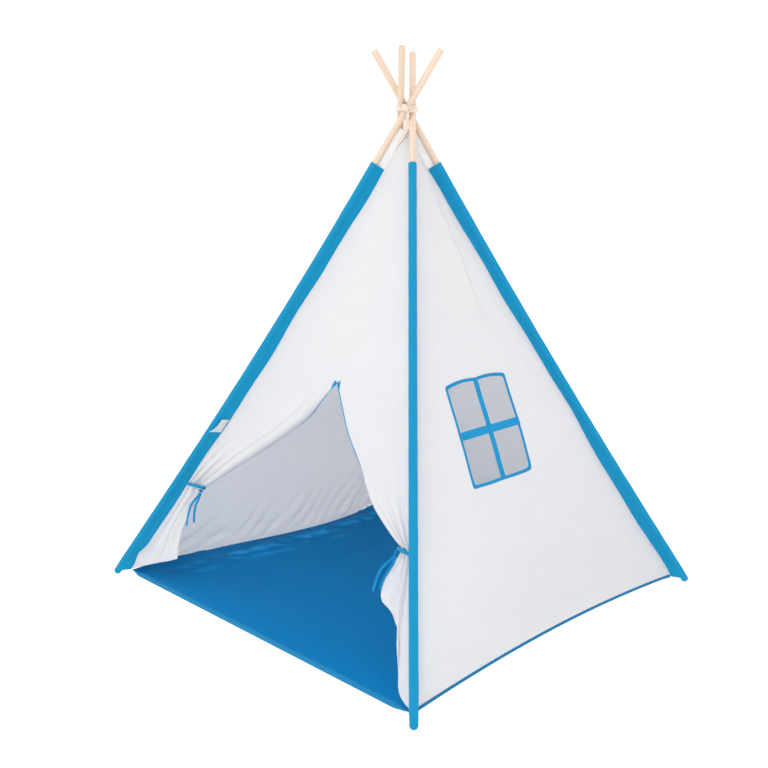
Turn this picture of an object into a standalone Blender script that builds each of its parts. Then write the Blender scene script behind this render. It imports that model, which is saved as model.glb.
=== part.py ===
"""Play teepee: four jointed wooden poles in the blue sleeves of a sewn white cover.

The cover has a tied-back door in front (-Y), an open window on the right (+X), two plain
walls, a floor mat sewn to their hems, and a cotton tie wound round the poles where they cross.
The poles fold together about the crossing. Everything is in metres, +Z up, and the origin is
on the floor under the crossing.
"""
import math

import bmesh
import bpy
import numpy as np
from mathutils import Matrix, Vector

MM = 0.001

# Frame of poles
BASE_WIDTH = 1220 * MM          # between the feet, left to right
BASE_DEPTH = 1180 * MM          # between the feet, front to rear
CROSSING_HEIGHT = 1357 * MM     # where the poles pass one another
POLE_LENGTH = 1768 * MM         # from the rounded foot end to the tip
POLE_RADIUS = 9 * MM
POLE_OFFSET = 16 * MM           # each pole passes this far beside the centre line
TIP_ROUNDING = 2.5 * MM
FERRULE_LENGTH = 80 * MM
FERRULE_WALL = 0.8 * MM
SLIP_CLEARANCE = 0.3 * MM       # between a pole's neck and its ferrule
END_CLEARANCE = 0.3 * MM        # between the ends of pieces that butt

# Cloth
CLOTH_GAP = 0.3 * MM            # between cloth pieces that are sewn together
CLOTH_THICKNESS = 1.2 * MM
SLEEVE_WALL = 0.8 * MM
SLEEVE_CLEARANCE = 0.5 * MM     # between a pole and the sleeve round it
SLEEVE_DEPTH = 31.5 * MM        # from the pole's axis to the sewn edge of the sleeve
SLEEVE_TOP_DROP = 175 * MM      # down the pole from the crossing
SEAM_ALLOWANCE = 4 * MM         # flat edge where the two layers of the sleeve are sewn
SEAM_HALF_THICKNESS = 1 * MM
SOCK_RISE = 15 * MM             # up the pole, where the sock begins to widen to the sleeve
CORNER_RISE = 40 * MM           # up the pole, where the walls' bottom corners are sewn
SEAM_TOP_DROP = 68 * MM         # down the pole from the crossing, where the walls end
FOOT_FLAT_DEPTH = 0.5 * MM      # what the floor presses flat of the rounded foot
WALL_HOLLOW = 7 * MM            # how far the walls draw in between their seams
HEM_ARCH = 22 * MM              # how far a hem rises between its corners
HEM_HEIGHT = 10 * MM
HEM_THICKNESS = 2.4 * MM

# Window, measured in its wall: across from the middle line, and up the slope
WINDOW_WIDTH = 246 * MM
WINDOW_HEIGHT = 268 * MM
WINDOW_SILL = 426 * MM
WINDOW_SHIFT = -36 * MM
WINDOW_SCALLOP = 7 * MM         # how far the top and bottom edges bulge in each half
WINDOW_BINDING = 10 * MM
BINDING_THICKNESS = 2.4 * MM
UPRIGHT_TAPE_WIDTH = 13 * MM
CROSS_TAPE_WIDTH = 22 * MM
TAPE_THICKNESS = 1.4 * MM

# Door, measured like the window
DOOR_APEX_RISE = 678 * MM
DOOR_APEX_SHIFT = 22 * MM
DOOR_BINDING_WIDTH = 8 * MM
LEFT_TIE_RISE = 297 * MM
LEFT_BUNDLE_WIDTH = 62 * MM
LEFT_FLAP_DROP = 211 * MM       # from the tie down to the curtain's free corner
LEFT_FLAP_WIDTH = 150 * MM
RIGHT_TIE_RISE = 325 * MM
RIGHT_BUNDLE_WIDTH = 48 * MM
RIGHT_FLAP_DROP = 136 * MM
RIGHT_FLAP_WIDTH = 98 * MM
DRAPE_SAG = 18 * MM             # how far the drawn edge hangs under a straight line
BUNDLE_SET_IN = 15 * MM         # the gathered cloth bulges this far into the tent
FOLD_DEPTH = 8 * MM
FOLD_COUNT = 3
DOOR_TIE_WIDTH = 9 * MM
DOOR_TIE_THICKNESS = 1.2 * MM
DOOR_KNOT_RADIUS = 6.5 * MM
KNOT_FLATNESS_SHARE = 0.9
TIE_END_RADIUS = 2.4 * MM

# Floor mat
MAT_THICKNESS = 2 * MM
MAT_RISE_WIDTH = 260 * MM       # the mat climbs to its edges over this width
SILL_BINDING_WIDTH = 18 * MM
SILL_SAG = 6 * MM

# Top tie
TOP_CORD_RADIUS = 2.3 * MM
TOP_CORD_GAP = 0.6 * MM         # between the turns
TOP_TURNS = 3
TOP_TIE_CLEARANCE = 1.2 * MM    # between the poles and the turns round them
TOP_KNOT_RADIUS = 9 * MM
STRAP_RADIUS = 2.6 * MM

# Care tab at the left front seam
TAB_RISE = 590 * MM             # up the pole
TAB_WIDTH = 24 * MM             # along the pole
TAB_SLANT = 55 * MM             # how far its end hangs below its sewn edge
TAB_THICKNESS = 0.8 * MM

ROUND_SIDES = 16
CUT_OVERRUN = 20 * MM

# Corners anticlockwise seen from above: name, and the signs of X and Y
CORNERS = {
    "front_left": (-1, -1),
    "front_right": (1, -1),
    "rear_right": (1, 1),
    "rear_left": (-1, 1),
}
# Walls, each from its left seam to its right seam seen from outside
WALLS = {
    "door": ("front_left", "front_right"),
    "window": ("front_right", "rear_right"),
    "rear": ("rear_right", "rear_left"),
    "side": ("rear_left", "front_left"),
}

# Sizes that follow from the ones above
FOOT_RADIUS = math.hypot(BASE_WIDTH, BASE_DEPTH) / 2
CROSSING_RISE = math.hypot(FOOT_RADIUS, CROSSING_HEIGHT)
SPLAY = math.atan2(FOOT_RADIUS, CROSSING_HEIGHT)
SLEEVE_TOP_RISE = CROSSING_RISE - SLEEVE_TOP_DROP
SEAM_TOP_RISE = CROSSING_RISE - SEAM_TOP_DROP
SLEEVE_BORE_RADIUS = POLE_RADIUS + SLEEVE_CLEARANCE
SLEEVE_RADIUS = SLEEVE_BORE_RADIUS + SLEEVE_WALL
FOOT_RISE = (SLEEVE_RADIUS - FOOT_FLAT_DEPTH) / math.cos(SPLAY)
NECK_RADIUS = POLE_RADIUS - FERRULE_WALL - SLIP_CLEARANCE
NECK_LENGTH = (FERRULE_LENGTH - END_CLEARANCE) / 2
POLE_BOTTOM_RISE = FOOT_RISE - POLE_RADIUS
SECTION_LENGTH = POLE_LENGTH / 3
WALL_SEAM_INSET = SLEEVE_DEPTH - SEAM_ALLOWANCE / 3
WALL_SEAM_SIDE = SEAM_HALF_THICKNESS + CLOTH_GAP + CLOTH_THICKNESS / 2


def clear_scene():
    """Remove what the scene holds."""
    for obj in list(bpy.data.objects):
        bpy.data.objects.remove(obj, do_unlink=True)
    for group in list(bpy.data.collections):
        bpy.data.collections.remove(group)


def make_material(name, colour, roughness, metallic=0.0):
    """A plain finish with one colour."""
    material = bpy.data.materials.new(name)
    material.use_nodes = True
    shader = material.node_tree.nodes["Principled BSDF"]
    shader.inputs["Base Color"].default_value = (*colour, 1.0)
    shader.inputs["Roughness"].default_value = roughness
    shader.inputs["Metallic"].default_value = metallic
    material.diffuse_color = (*colour, 1.0)
    return material


clear_scene()
PARTS = bpy.data.collections.new("teepee")
CUTTERS = bpy.data.collections.new("cutters")
bpy.context.scene.collection.children.link(PARTS)
bpy.context.scene.collection.children.link(CUTTERS)

PINE = make_material("pine", (0.80, 0.60, 0.38), 0.55)
STEEL = make_material("zinc_plated_steel", (0.62, 0.62, 0.60), 0.35, 1.0)
BLUE_CLOTH = make_material("blue_cotton", (0.020, 0.290, 0.560), 0.75)
WHITE_CLOTH = make_material("white_cotton", (0.84, 0.84, 0.86), 0.85)
BLUE_NYLON = make_material("blue_nylon", (0.010, 0.130, 0.350), 0.45)
BLUE_TAPE = make_material("blue_tape", (0.015, 0.240, 0.520), 0.65)
CREAM_TAPE = make_material("cream_cotton_tape", (0.85, 0.78, 0.72), 0.85)


def add_part(name, mesh, material):
    """Link a finished mesh as a named piece."""
    obj = bpy.data.objects.new(name, mesh)
    mesh.materials.clear()
    mesh.materials.append(material)
    PARTS.objects.link(obj)
    return obj


def loft(name, rings, material, closed=False):
    """A solid skin over rings of equally many points, with flat ends unless it closes on itself."""
    bm = bmesh.new()
    rows = [[bm.verts.new(point) for point in ring] for ring in rings]
    count = len(rows[0])
    last = len(rows) if closed else len(rows) - 1
    for i in range(last):
        low, high = rows[i], rows[(i + 1) % len(rows)]
        for j in range(count):
            k = (j + 1) % count
            bm.faces.new((low[j], low[k], high[k], high[j]))
    if not closed:
        bm.faces.new(rows[0][::-1])
        bm.faces.new(rows[-1])
    bmesh.ops.recalc_face_normals(bm, faces=bm.faces)
    mesh = bpy.data.meshes.new(name)
    bm.to_mesh(mesh)
    bm.free()
    mesh.shade_smooth()
    mesh.set_sharp_from_angle(angle=math.radians(40))
    return add_part(name, mesh, material)


def sheet(name, patches, material, thickness, holes=()):
    """Cloth over one or more grids of points that share edges, given its thickness both ways."""
    bm = bmesh.new()
    for patch in patches:
        rows = [[bm.verts.new(point) for point in row] for row in patch]
        for i in range(len(rows) - 1):
            for j in range(len(rows[0]) - 1):
                if (i, j) in holes:
                    continue
                bm.faces.new((rows[i][j], rows[i][j + 1], rows[i + 1][j + 1], rows[i + 1][j]))
    bmesh.ops.delete(bm, geom=[v for v in bm.verts if not v.link_faces], context="VERTS")
    bmesh.ops.remove_doubles(bm, verts=bm.verts, dist=CLOTH_GAP / 10)
    bmesh.ops.recalc_face_normals(bm, faces=bm.faces)
    mesh = bpy.data.meshes.new(name)
    bm.to_mesh(mesh)
    bm.free()
    mesh.shade_smooth()
    obj = add_part(name, mesh, material)
    wall = obj.modifiers.new("thickness", "SOLIDIFY")
    wall.thickness = thickness
    wall.offset = 0.0
    wall.use_even_offset = True
    return obj


def turned(name, profile, material, closed=False):
    """A turned piece: the profile's outer side runs from top to bottom at +X."""
    count = len(profile)
    edges = [(i, i + 1) for i in range(count - 1)]
    if closed:
        edges.append((count - 1, 0))
    mesh = bpy.data.meshes.new(name)
    mesh.from_pydata([(x, 0.0, z) for x, z in profile], edges, [])
    obj = add_part(name, mesh, material)
    spin = obj.modifiers.new("spin", "SCREW")
    spin.steps = ROUND_SIDES
    spin.render_steps = ROUND_SIDES
    spin.use_merge_vertices = True
    spin.merge_threshold = CLOTH_GAP / 100
    spin.use_smooth_shade = True
    return obj


def tube(name, points, radius, material, resolution=1):
    """A round cord through the points, with filled ends."""
    curve = bpy.data.curves.new(name, "CURVE")
    curve.dimensions = "3D"
    curve.bevel_depth = radius
    curve.bevel_resolution = resolution
    curve.use_fill_caps = True
    spline = curve.splines.new("POLY")
    spline.points.add(len(points) - 1)
    for point, place in zip(spline.points, points):
        point.co = (*place, 1.0)
    obj = bpy.data.objects.new(name, curve)
    curve.materials.append(material)
    PARTS.objects.link(obj)
    return obj


def smooth_step(x):
    """0 below 0, 1 above 1, and an even S between."""
    x = min(max(x, 0.0), 1.0)
    return x * x * (3 - 2 * x)


def smooth_route(points, spacing):
    """Points every spacing along a smooth curve through the given ones."""
    route = [Vector(p) for p in points]
    route = [2 * route[0] - route[1]] + route + [2 * route[-1] - route[-2]]
    dense = []
    for i in range(1, len(route) - 2):
        a, b, c, d = route[i - 1:i + 3]
        for k in range(20):
            t = k / 20
            dense.append(0.5 * (2 * b + (c - a) * t + (2 * a - 5 * b + 4 * c - d) * t * t
                                + (3 * b - a - 3 * c + d) * t * t * t))
    dense.append(route[-2])
    lengths = [0.0]
    for i in range(1, len(dense)):
        lengths.append(lengths[-1] + (dense[i] - dense[i - 1]).length)
    count = max(4, round(lengths[-1] / spacing))
    marks = np.linspace(0.0, lengths[-1], count + 1)
    axes = [np.interp(marks, lengths, [p[i] for p in dense]) for i in range(3)]
    return [Vector(p) for p in zip(*axes)]


def corner_axes(corner):
    """Unit vectors of a corner: outwards from the centre, and round it anticlockwise."""
    sign_x, sign_y = CORNERS[corner]
    outward = Vector((sign_x * BASE_WIDTH, sign_y * BASE_DEPTH, 0.0)).normalized()
    around = Vector((-outward.y, outward.x, 0.0))
    return outward, around


def pole_matrix(corner):
    """A pole's frame: origin on the floor, Z up the pole, X square to it towards the centre."""
    outward, around = corner_axes(corner)
    up = Vector((0.0, 0.0, 1.0))
    along = math.cos(SPLAY) * up - math.sin(SPLAY) * outward
    inward = -math.cos(SPLAY) * outward - math.sin(SPLAY) * up
    rotation = Matrix((inward, along.cross(inward), along)).transposed().to_4x4()
    return Matrix.Translation(FOOT_RADIUS * outward + POLE_OFFSET * around) @ rotation


def seam_point(corner, rise, side, inset=WALL_SEAM_INSET):
    """A point beside the sewn edge of a sleeve; side is +1 on the pole's anticlockwise side."""
    return pole_matrix(corner) @ Vector((inset, -side * WALL_SEAM_SIDE, rise))


def wall_rise(wall, up):
    """How far up the pole the slope height up of a wall lies."""
    left, right = WALLS[wall]
    low = (seam_point(left, CORNER_RISE, 1) + seam_point(right, CORNER_RISE, -1)) / 2
    high = (seam_point(left, SEAM_TOP_RISE, 1) + seam_point(right, SEAM_TOP_RISE, -1)) / 2
    return CORNER_RISE + up * (SEAM_TOP_RISE - CORNER_RISE) / (high - low).length


def wall_ends(wall, up):
    """The two points where a level line of a wall meets its seams."""
    left, right = WALLS[wall]
    rise = wall_rise(wall, up)
    return seam_point(left, rise, 1), seam_point(right, rise, -1)


def wall_top(wall):
    """Slope height at which a wall ends."""
    left, right = WALLS[wall]
    low = (seam_point(left, CORNER_RISE, 1) + seam_point(right, CORNER_RISE, -1)) / 2
    high = (seam_point(left, SEAM_TOP_RISE, 1) + seam_point(right, SEAM_TOP_RISE, -1)) / 2
    return (high - low).length


def wall_width(wall, up):
    """Width of a wall between its seams at a slope height."""
    left, right = wall_ends(wall, up)
    return (right - left).length


def wall_normal(wall):
    """Unit vector out of a wall."""
    left, right = wall_ends(wall, 0.0)
    top = sum(wall_ends(wall, wall_top(wall)), Vector()) / 2
    return (right - left).cross(top - (left + right) / 2).normalized()


def wall_point(wall, across, up, out=0.0):
    """A point of a wall: across from its middle line, up its slope, and out of it.

    The wall is ruled between its seams and draws in a little between them.
    """
    left, right = wall_ends(wall, up)
    share = 0.5 + across / (right - left).length
    hollow = 4 * share * (1 - share) * math.sin(math.pi * min(max(up / wall_top(wall), 0), 1))
    flat = left.lerp(right, share)
    return flat + (out - WALL_HOLLOW * hollow) * wall_normal(wall)


def hem_line(wall, across, drop=0.0):
    """Slope height of a wall's bottom edge, which arches up between its corners."""
    half = wall_width(wall, 0.0) / 2
    return HEM_HEIGHT / 2 + HEM_ARCH * (1 - (across / half) ** 2) - drop


def strip(name, wall, centre_line, half_width, low_out, high_out, material, closed=False):
    """Tape on a wall: its sides lie half_width to each side of a line of (across, up) points."""
    rings = []
    count = len(centre_line)
    for i in range(count):
        before = centre_line[i - 1] if closed or i > 0 else centre_line[0]
        after = centre_line[(i + 1) % count] if closed or i < count - 1 else centre_line[-1]
        along = Vector((after[0] - before[0], after[1] - before[1])).normalized()
        side = Vector((-along.y, along.x)) * half_width
        here = Vector(centre_line[i])
        left, right = here - side, here + side
        rings.append([wall_point(wall, *left, low_out), wall_point(wall, *right, low_out),
                      wall_point(wall, *right, high_out), wall_point(wall, *left, high_out)])
    return loft(name, rings, material, closed)


def band(name, wall, inner, outer, low_out, high_out, material, closed=False):
    """Cloth between two lines of (across, up) points on a wall, given its thickness."""
    rings = [[wall_point(wall, *a, low_out), wall_point(wall, *b, low_out),
              wall_point(wall, *b, high_out), wall_point(wall, *a, high_out)]
             for a, b in zip(inner, outer)]
    return loft(name, rings, material, closed)


def pole_sections(corner, fold):
    """Three turned sections of one pole, with necks where its two steel ferrules join them."""
    bounds = [POLE_BOTTOM_RISE + i * SECTION_LENGTH for i in range(4)]
    for i, part in enumerate(("lower", "middle", "upper")):
        low, high = bounds[i], bounds[i + 1]
        profile = []
        if part == "upper":
            arc = [math.radians(a) for a in (90, 60, 30, 0)]
            corner_x = POLE_RADIUS - TIP_ROUNDING
            profile.append((0.0, high))
            profile += [(corner_x + TIP_ROUNDING * math.cos(a),
                         high - TIP_ROUNDING + TIP_ROUNDING * math.sin(a)) for a in arc]
        else:
            top = high - END_CLEARANCE / 2
            profile += [(0.0, top), (NECK_RADIUS, top),
                        (NECK_RADIUS, high - END_CLEARANCE / 2 - NECK_LENGTH - END_CLEARANCE),
                        (POLE_RADIUS, high - END_CLEARANCE / 2 - NECK_LENGTH - END_CLEARANCE)]
        if part == "lower":
            arc = [math.radians(a) for a in (0, 30, 60)]
            centre = low + POLE_RADIUS
            profile += [(POLE_RADIUS * math.cos(a), centre - POLE_RADIUS * math.sin(a))
                        for a in arc]
            profile.append((0.0, low))
        else:
            bottom = low + END_CLEARANCE / 2
            profile += [(POLE_RADIUS, bottom + NECK_LENGTH + END_CLEARANCE),
                        (NECK_RADIUS, bottom + NECK_LENGTH + END_CLEARANCE),
                        (NECK_RADIUS, bottom), (0.0, bottom)]
        place_on_pole(turned(f"{corner}_pole_{part}", profile, PINE), fold)
    for i, part in enumerate(("lower", "upper")):
        middle = bounds[i + 1]
        half = FERRULE_LENGTH / 2
        bore = POLE_RADIUS - FERRULE_WALL
        profile = [(POLE_RADIUS, middle + half), (POLE_RADIUS, middle - half),
                   (bore, middle - half), (bore, middle + half)]
        place_on_pole(turned(f"{corner}_ferrule_{part}", profile, STEEL, closed=True), fold)


def place_on_pole(obj, fold):
    """Parent a piece made in the pole's frame to the pole's fold axis."""
    obj.parent = fold
    obj.location = (0.0, 0.0, -CROSSING_RISE)


def fold_axis(corner):
    """An empty where the pole passes the centre line: the pole turns about its Y axis."""
    fold = bpy.data.objects.new(f"{corner}_fold_axis", None)
    fold.matrix_world = pole_matrix(corner) @ Matrix.Translation((0.0, 0.0, CROSSING_RISE))
    CUTTERS.objects.link(fold)
    return fold


def sleeve_ring(rise, radius, tip, half_tip, neck, fullness):
    """Teardrop section round the pole: an arc, then two flanks to a flat sewn edge.

    With fullness 0 the section is a plain circle, as in the sock at the foot.
    """
    arc_sides = 10
    tangent = math.acos(min(1.0, radius / neck))
    drop = np.linspace(tangent, 2 * math.pi - tangent, arc_sides)
    circle = math.pi * (2 * np.arange(arc_sides + 4) + 1) / (arc_sides + 4)
    arc = circle[2:-2] + (drop - circle[2:-2]) * fullness
    ring = [(radius * math.cos(a), radius * math.sin(a)) for a in arc]
    for angle, x, side in ((circle[1], neck, 1), (circle[0], tip, 1)):
        ring.insert(0, (radius * math.cos(angle) * (1 - fullness) + x * fullness,
                        radius * math.sin(angle) * (1 - fullness) + half_tip * side * fullness))
    for angle, x, side in ((circle[-2], neck, -1), (circle[-1], tip, -1)):
        ring.append((radius * math.cos(angle) * (1 - fullness) + x * fullness,
                     radius * math.sin(angle) * (1 - fullness) + half_tip * side * fullness))
    return [Vector((x, y, rise)) for x, y in ring]


def sleeve(corner, fold):
    """Cloth sleeve with a sock at the foot: outer skin up, over the rim, and inner skin down."""
    neck = SLEEVE_DEPTH - SEAM_ALLOWANCE
    bore_tip_half = SEAM_HALF_THICKNESS / 4
    outer, inner = [], []
    for polar in (84, 60, 30, 0):
        a = math.radians(polar)
        outer.append(sleeve_ring(FOOT_RISE - SLEEVE_RADIUS * math.sin(a),
                                 SLEEVE_RADIUS * math.cos(a), SLEEVE_DEPTH,
                                 SEAM_HALF_THICKNESS, neck, 0.0))
        inner.append(sleeve_ring(FOOT_RISE - SLEEVE_BORE_RADIUS * math.sin(a),
                                 SLEEVE_BORE_RADIUS * math.cos(a), SLEEVE_DEPTH,
                                 SEAM_HALF_THICKNESS, neck, 0.0))
    step_count = 4
    rises = [SOCK_RISE + (CORNER_RISE - SOCK_RISE) * i / step_count
             for i in range(step_count + 1)]
    rises += [SLEEVE_TOP_RISE / 3, SLEEVE_TOP_RISE * 2 / 3, SLEEVE_TOP_RISE]
    for rise in rises:
        fullness = smooth_step((rise - SOCK_RISE) / (CORNER_RISE - SOCK_RISE))
        outer.append(sleeve_ring(rise, SLEEVE_RADIUS, SLEEVE_DEPTH,
                                 SEAM_HALF_THICKNESS, neck, fullness))
        inner.append(sleeve_ring(rise, SLEEVE_BORE_RADIUS, neck - SLEEVE_WALL / 4,
                                 bore_tip_half, neck - SLEEVE_WALL, fullness))
    obj = loft(f"{corner}_sleeve", outer + inner[::-1], BLUE_CLOTH)
    place_on_pole(obj, fold)
    cut = obj.modifiers.new("floor", "BOOLEAN")
    cut.operation = "DIFFERENCE"
    cut.object = FLOOR_CUTTER
    return obj


def floor_cutter():
    """A slab under the floor, which presses the rounded feet flat."""
    bpy.ops.mesh.primitive_cube_add(size=1.0)
    slab = bpy.context.object
    slab.name = "floor_cutter"
    slab.data.transform(Matrix.Diagonal((BASE_WIDTH + FOOT_RADIUS, BASE_DEPTH + FOOT_RADIUS,
                                         CUT_OVERRUN, 1.0)))
    slab.location = (0.0, 0.0, -CUT_OVERRUN / 2)
    for group in list(slab.users_collection):
        group.objects.unlink(slab)
    CUTTERS.objects.link(slab)
    slab.hide_render = True
    slab.display_type = "WIRE"
    return slab


def plain_wall(name, wall, columns=12, rows=9):
    """A wall of one piece of cloth, hollow between its seams; returns its bottom edge."""
    top = wall_top(wall)
    patch = []
    bottom_edge = []
    for i in range(rows + 1):
        line = []
        for j in range(columns + 1):
            share = j / columns
            foot_across = (share - 0.5) * wall_width(wall, 0.0)
            bottom = hem_line(wall, foot_across)
            up = bottom + (top - bottom) * (i / rows)
            across = (share - 0.5) * wall_width(wall, up)
            line.append(wall_point(wall, across, up))
            if i == 0:
                bottom_edge.append((across, up))
        patch.append(line)
    sheet(name, [patch], WHITE_CLOTH, CLOTH_THICKNESS)
    return bottom_edge


def window_edge(share, side, inset):
    """A point of the window's top (+1) or bottom (-1) edge, which bulges in each half."""
    across = WINDOW_SHIFT + (share - 0.5) * (WINDOW_WIDTH - 2 * inset)
    bulge = WINDOW_SCALLOP * math.sin(math.pi * ((2 * share) % 1.0 if share < 1 else 0.0))
    middle = WINDOW_SILL + WINDOW_HEIGHT / 2
    return across, middle + side * (WINDOW_HEIGHT / 2 + bulge - inset)


def window_outline(inset, steps=8):
    """The window's outline, drawn in by an inset, anticlockwise from its lower left corner."""
    shares = [i / steps for i in range(steps + 1)]
    low = [window_edge(share, -1, inset) for share in shares]
    high = [window_edge(share, 1, inset) for share in reversed(shares)]
    side_count = 3
    right = [tuple(Vector(low[-1]).lerp(Vector(high[0]), i / side_count))
             for i in range(1, side_count)]
    left = [tuple(Vector(high[-1]).lerp(Vector(low[0]), i / side_count))
            for i in range(1, side_count)]
    return low + right + high + left


def window_wall():
    """The right wall: a sheet with the window left out of it; returns its bottom edge."""
    wall = "window"
    top = wall_top(wall)
    across_count, side_count = 8, 3
    upright_count, low_count, high_count = 3, 4, 5
    patch = []
    bottom_edge = []
    holes = set()
    for i in range(low_count + upright_count + high_count + 1):
        line = []
        for j in range(2 * side_count + across_count + 1):
            share = min(max((j - side_count) / across_count, 0.0), 1.0)
            low = window_edge(share, -1, 0.0)
            high = window_edge(share, 1, 0.0)
            spread = (j / side_count - 1 if j < side_count
                      else max(0, j - side_count - across_count) / side_count)
            foot = low[0] + spread * (wall_width(wall, 0.0) / 2 - abs(low[0]))
            if i <= low_count:
                bottom = hem_line(wall, foot)
                up = bottom + (low[1] - bottom) * i / low_count
                across = low[0]
            elif i <= low_count + upright_count:
                up = low[1] + (high[1] - low[1]) * (i - low_count) / upright_count
                across = low[0]
            else:
                part_share = (i - low_count - upright_count) / high_count
                up = high[1] + (top - high[1]) * part_share
                across = high[0] * wall_width(wall, up) / wall_width(wall, high[1])
            edge = math.copysign(wall_width(wall, up) / 2, spread) if spread else 0.0
            across += abs(spread) * (edge - across) if spread else 0.0
            line.append(wall_point(wall, across, up))
            if i == 0:
                bottom_edge.append((across, up))
            if side_count <= j < side_count + across_count:
                if low_count <= i < low_count + upright_count:
                    holes.add((i, j))
        patch.append(line)
    sheet("window_panel", [patch], WHITE_CLOTH, CLOTH_THICKNESS, holes)
    return bottom_edge


def window_trim():
    """Binding round the window, an upright tape in it and a cross tape sewn over both."""
    half = BINDING_THICKNESS / 2
    band("window_frame", "window", window_outline(CLOTH_GAP + WINDOW_BINDING),
         window_outline(CLOTH_GAP), -half, half, BLUE_TAPE, closed=True)
    inset = 2 * CLOTH_GAP + WINDOW_BINDING
    low = window_edge(0.5, -1, inset)[1]
    high = window_edge(0.5, 1, inset)[1]
    row_count = 4
    line = [(WINDOW_SHIFT, low + (high - low) * i / row_count)
            for i in range(row_count + 1)]
    strip("window_upright_tape", "window", line, UPRIGHT_TAPE_WIDTH / 2,
          -TAPE_THICKNESS / 2, TAPE_THICKNESS / 2, BLUE_TAPE)
    middle = WINDOW_SILL + WINDOW_HEIGHT / 2
    reach = WINDOW_WIDTH - 2 * CLOTH_GAP
    line = [(WINDOW_SHIFT + reach * (i / row_count - 0.5), middle)
            for i in range(row_count + 1)]
    seat = half + CLOTH_GAP
    strip("window_cross_tape", "window", line, CROSS_TAPE_WIDTH / 2,
          seat, seat + TAPE_THICKNESS, BLUE_TAPE)


def hem(name, wall, edge):
    """Folded tape along a wall's arched bottom edge, just short of the sleeves."""
    upper = [(x, up - CLOTH_GAP) for x, up in edge]
    for end in (0, -1):
        x, up = upper[end]
        upper[end] = (x - math.copysign(SEAM_ALLOWANCE, x), up)
    lower = [(x, up - HEM_HEIGHT) for x, up in upper]
    band(name, wall, lower, upper, -HEM_THICKNESS / 2, HEM_THICKNESS / 2, BLUE_TAPE)


def door_side(side):
    """Sizes of one half of the door: sign, tie height, bundle width, flap drop and width."""
    if side == "left":
        return -1, LEFT_TIE_RISE, LEFT_BUNDLE_WIDTH, LEFT_FLAP_DROP, LEFT_FLAP_WIDTH
    return 1, RIGHT_TIE_RISE, RIGHT_BUNDLE_WIDTH, RIGHT_FLAP_DROP, RIGHT_FLAP_WIDTH


def drawn_edge(side, share):
    """The curtain's drawn edge, from the door's apex (0) to its tie (1): across, up and out."""
    sign, tie_up, bundle = door_side(side)[:3]
    tie_across = sign * (wall_width("door", tie_up) / 2 - bundle)
    across = DOOR_APEX_SHIFT + (tie_across - DOOR_APEX_SHIFT) * share
    up = DOOR_APEX_RISE + (tie_up - DOOR_APEX_RISE) * share
    up -= DRAPE_SAG * math.sin(math.pi * share)
    return across, up, -BUNDLE_SET_IN * smooth_step(share)


def folds(share_across, strength):
    """How far gathered cloth stands out, in even folds that die out at its two edges."""
    edge = math.sin(math.pi * share_across) ** 0.5
    return FOLD_DEPTH * strength * edge * math.sin(2 * math.pi * FOLD_COUNT * share_across)


def door_half(side, columns=12, top_rows=5, drape_rows=9):
    """Grid over one half of the door wall, from its top down to the gathered cloth in the tie."""
    sign, tie_up = door_side(side)[:2]
    top = wall_top("door")
    patch = []
    for i in range(top_rows):
        up = top + (DOOR_APEX_RISE - top) * i / top_rows
        middle = DOOR_APEX_SHIFT * i / top_rows * wall_width("door", up) \
            / wall_width("door", DOOR_APEX_RISE)
        edge = sign * wall_width("door", up) / 2
        patch.append([wall_point("door", edge + (middle - edge) * j / columns, up)
                      for j in range(columns + 1)])
    for i in range(drape_rows + 1):
        share = i / drape_rows
        across, up, out = drawn_edge(side, share)
        seam_up = DOOR_APEX_RISE + (tie_up - DOOR_APEX_RISE) * share
        edge = sign * wall_width("door", seam_up) / 2
        line = []
        for j in range(columns + 1):
            part = j / columns
            stand = out * smooth_step(part) + folds(part, smooth_step(share) ** 2)
            line.append(wall_point("door", edge + (across - edge) * part,
                                   seam_up + (up - seam_up) * part, stand))
        patch.append(line)
    return patch


def door_wall():
    """The front wall: one cloth down to the apex, then a drape drawn aside to each tie."""
    sheet("door_panel", [door_half("left"), door_half("right")], WHITE_CLOTH, CLOTH_THICKNESS)


def flap_point(side, share_across, share_down, out=0.0):
    """A point of the loose curtain under a tie, between its seam and its free edge."""
    sign, tie_up, bundle, drop, width = door_side(side)
    start_gap = CLOTH_GAP + CLOTH_THICKNESS
    seam_up = (tie_up - start_gap) * (1 - share_down) + CLOTH_THICKNESS
    seam_across = sign * wall_width("door", seam_up) / 2
    tie_across = sign * (wall_width("door", tie_up) / 2 - bundle)
    corner_up = tie_up - drop
    corner_across = sign * (wall_width("door", corner_up) / 2 - width)
    free_across = tie_across + (corner_across - tie_across) * smooth_step(share_down)
    free_up = tie_up - start_gap - drop * share_down
    edge_out = -BUNDLE_SET_IN * (1 - 0.6 * share_down)
    sag = -width / 8 * math.sin(math.pi * share_across) * share_down ** 2
    across = seam_across + (free_across - seam_across) * share_across
    up = seam_up + (free_up - seam_up) * share_across + sag
    stand = edge_out * smooth_step(share_across) + folds(share_across, 1 + 0.5 * share_down)
    return wall_point("door", across, max(up, CLOTH_THICKNESS), stand + out)


def flap(side, columns=14, rows=8):
    """The loose lower part of a curtain, in soft folds under its tie."""
    patch = [[flap_point(side, j / columns, i / rows) for j in range(columns + 1)]
             for i in range(rows + 1)]
    sheet(f"{side}_door_curtain", [patch], WHITE_CLOTH, CLOTH_THICKNESS)


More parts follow.
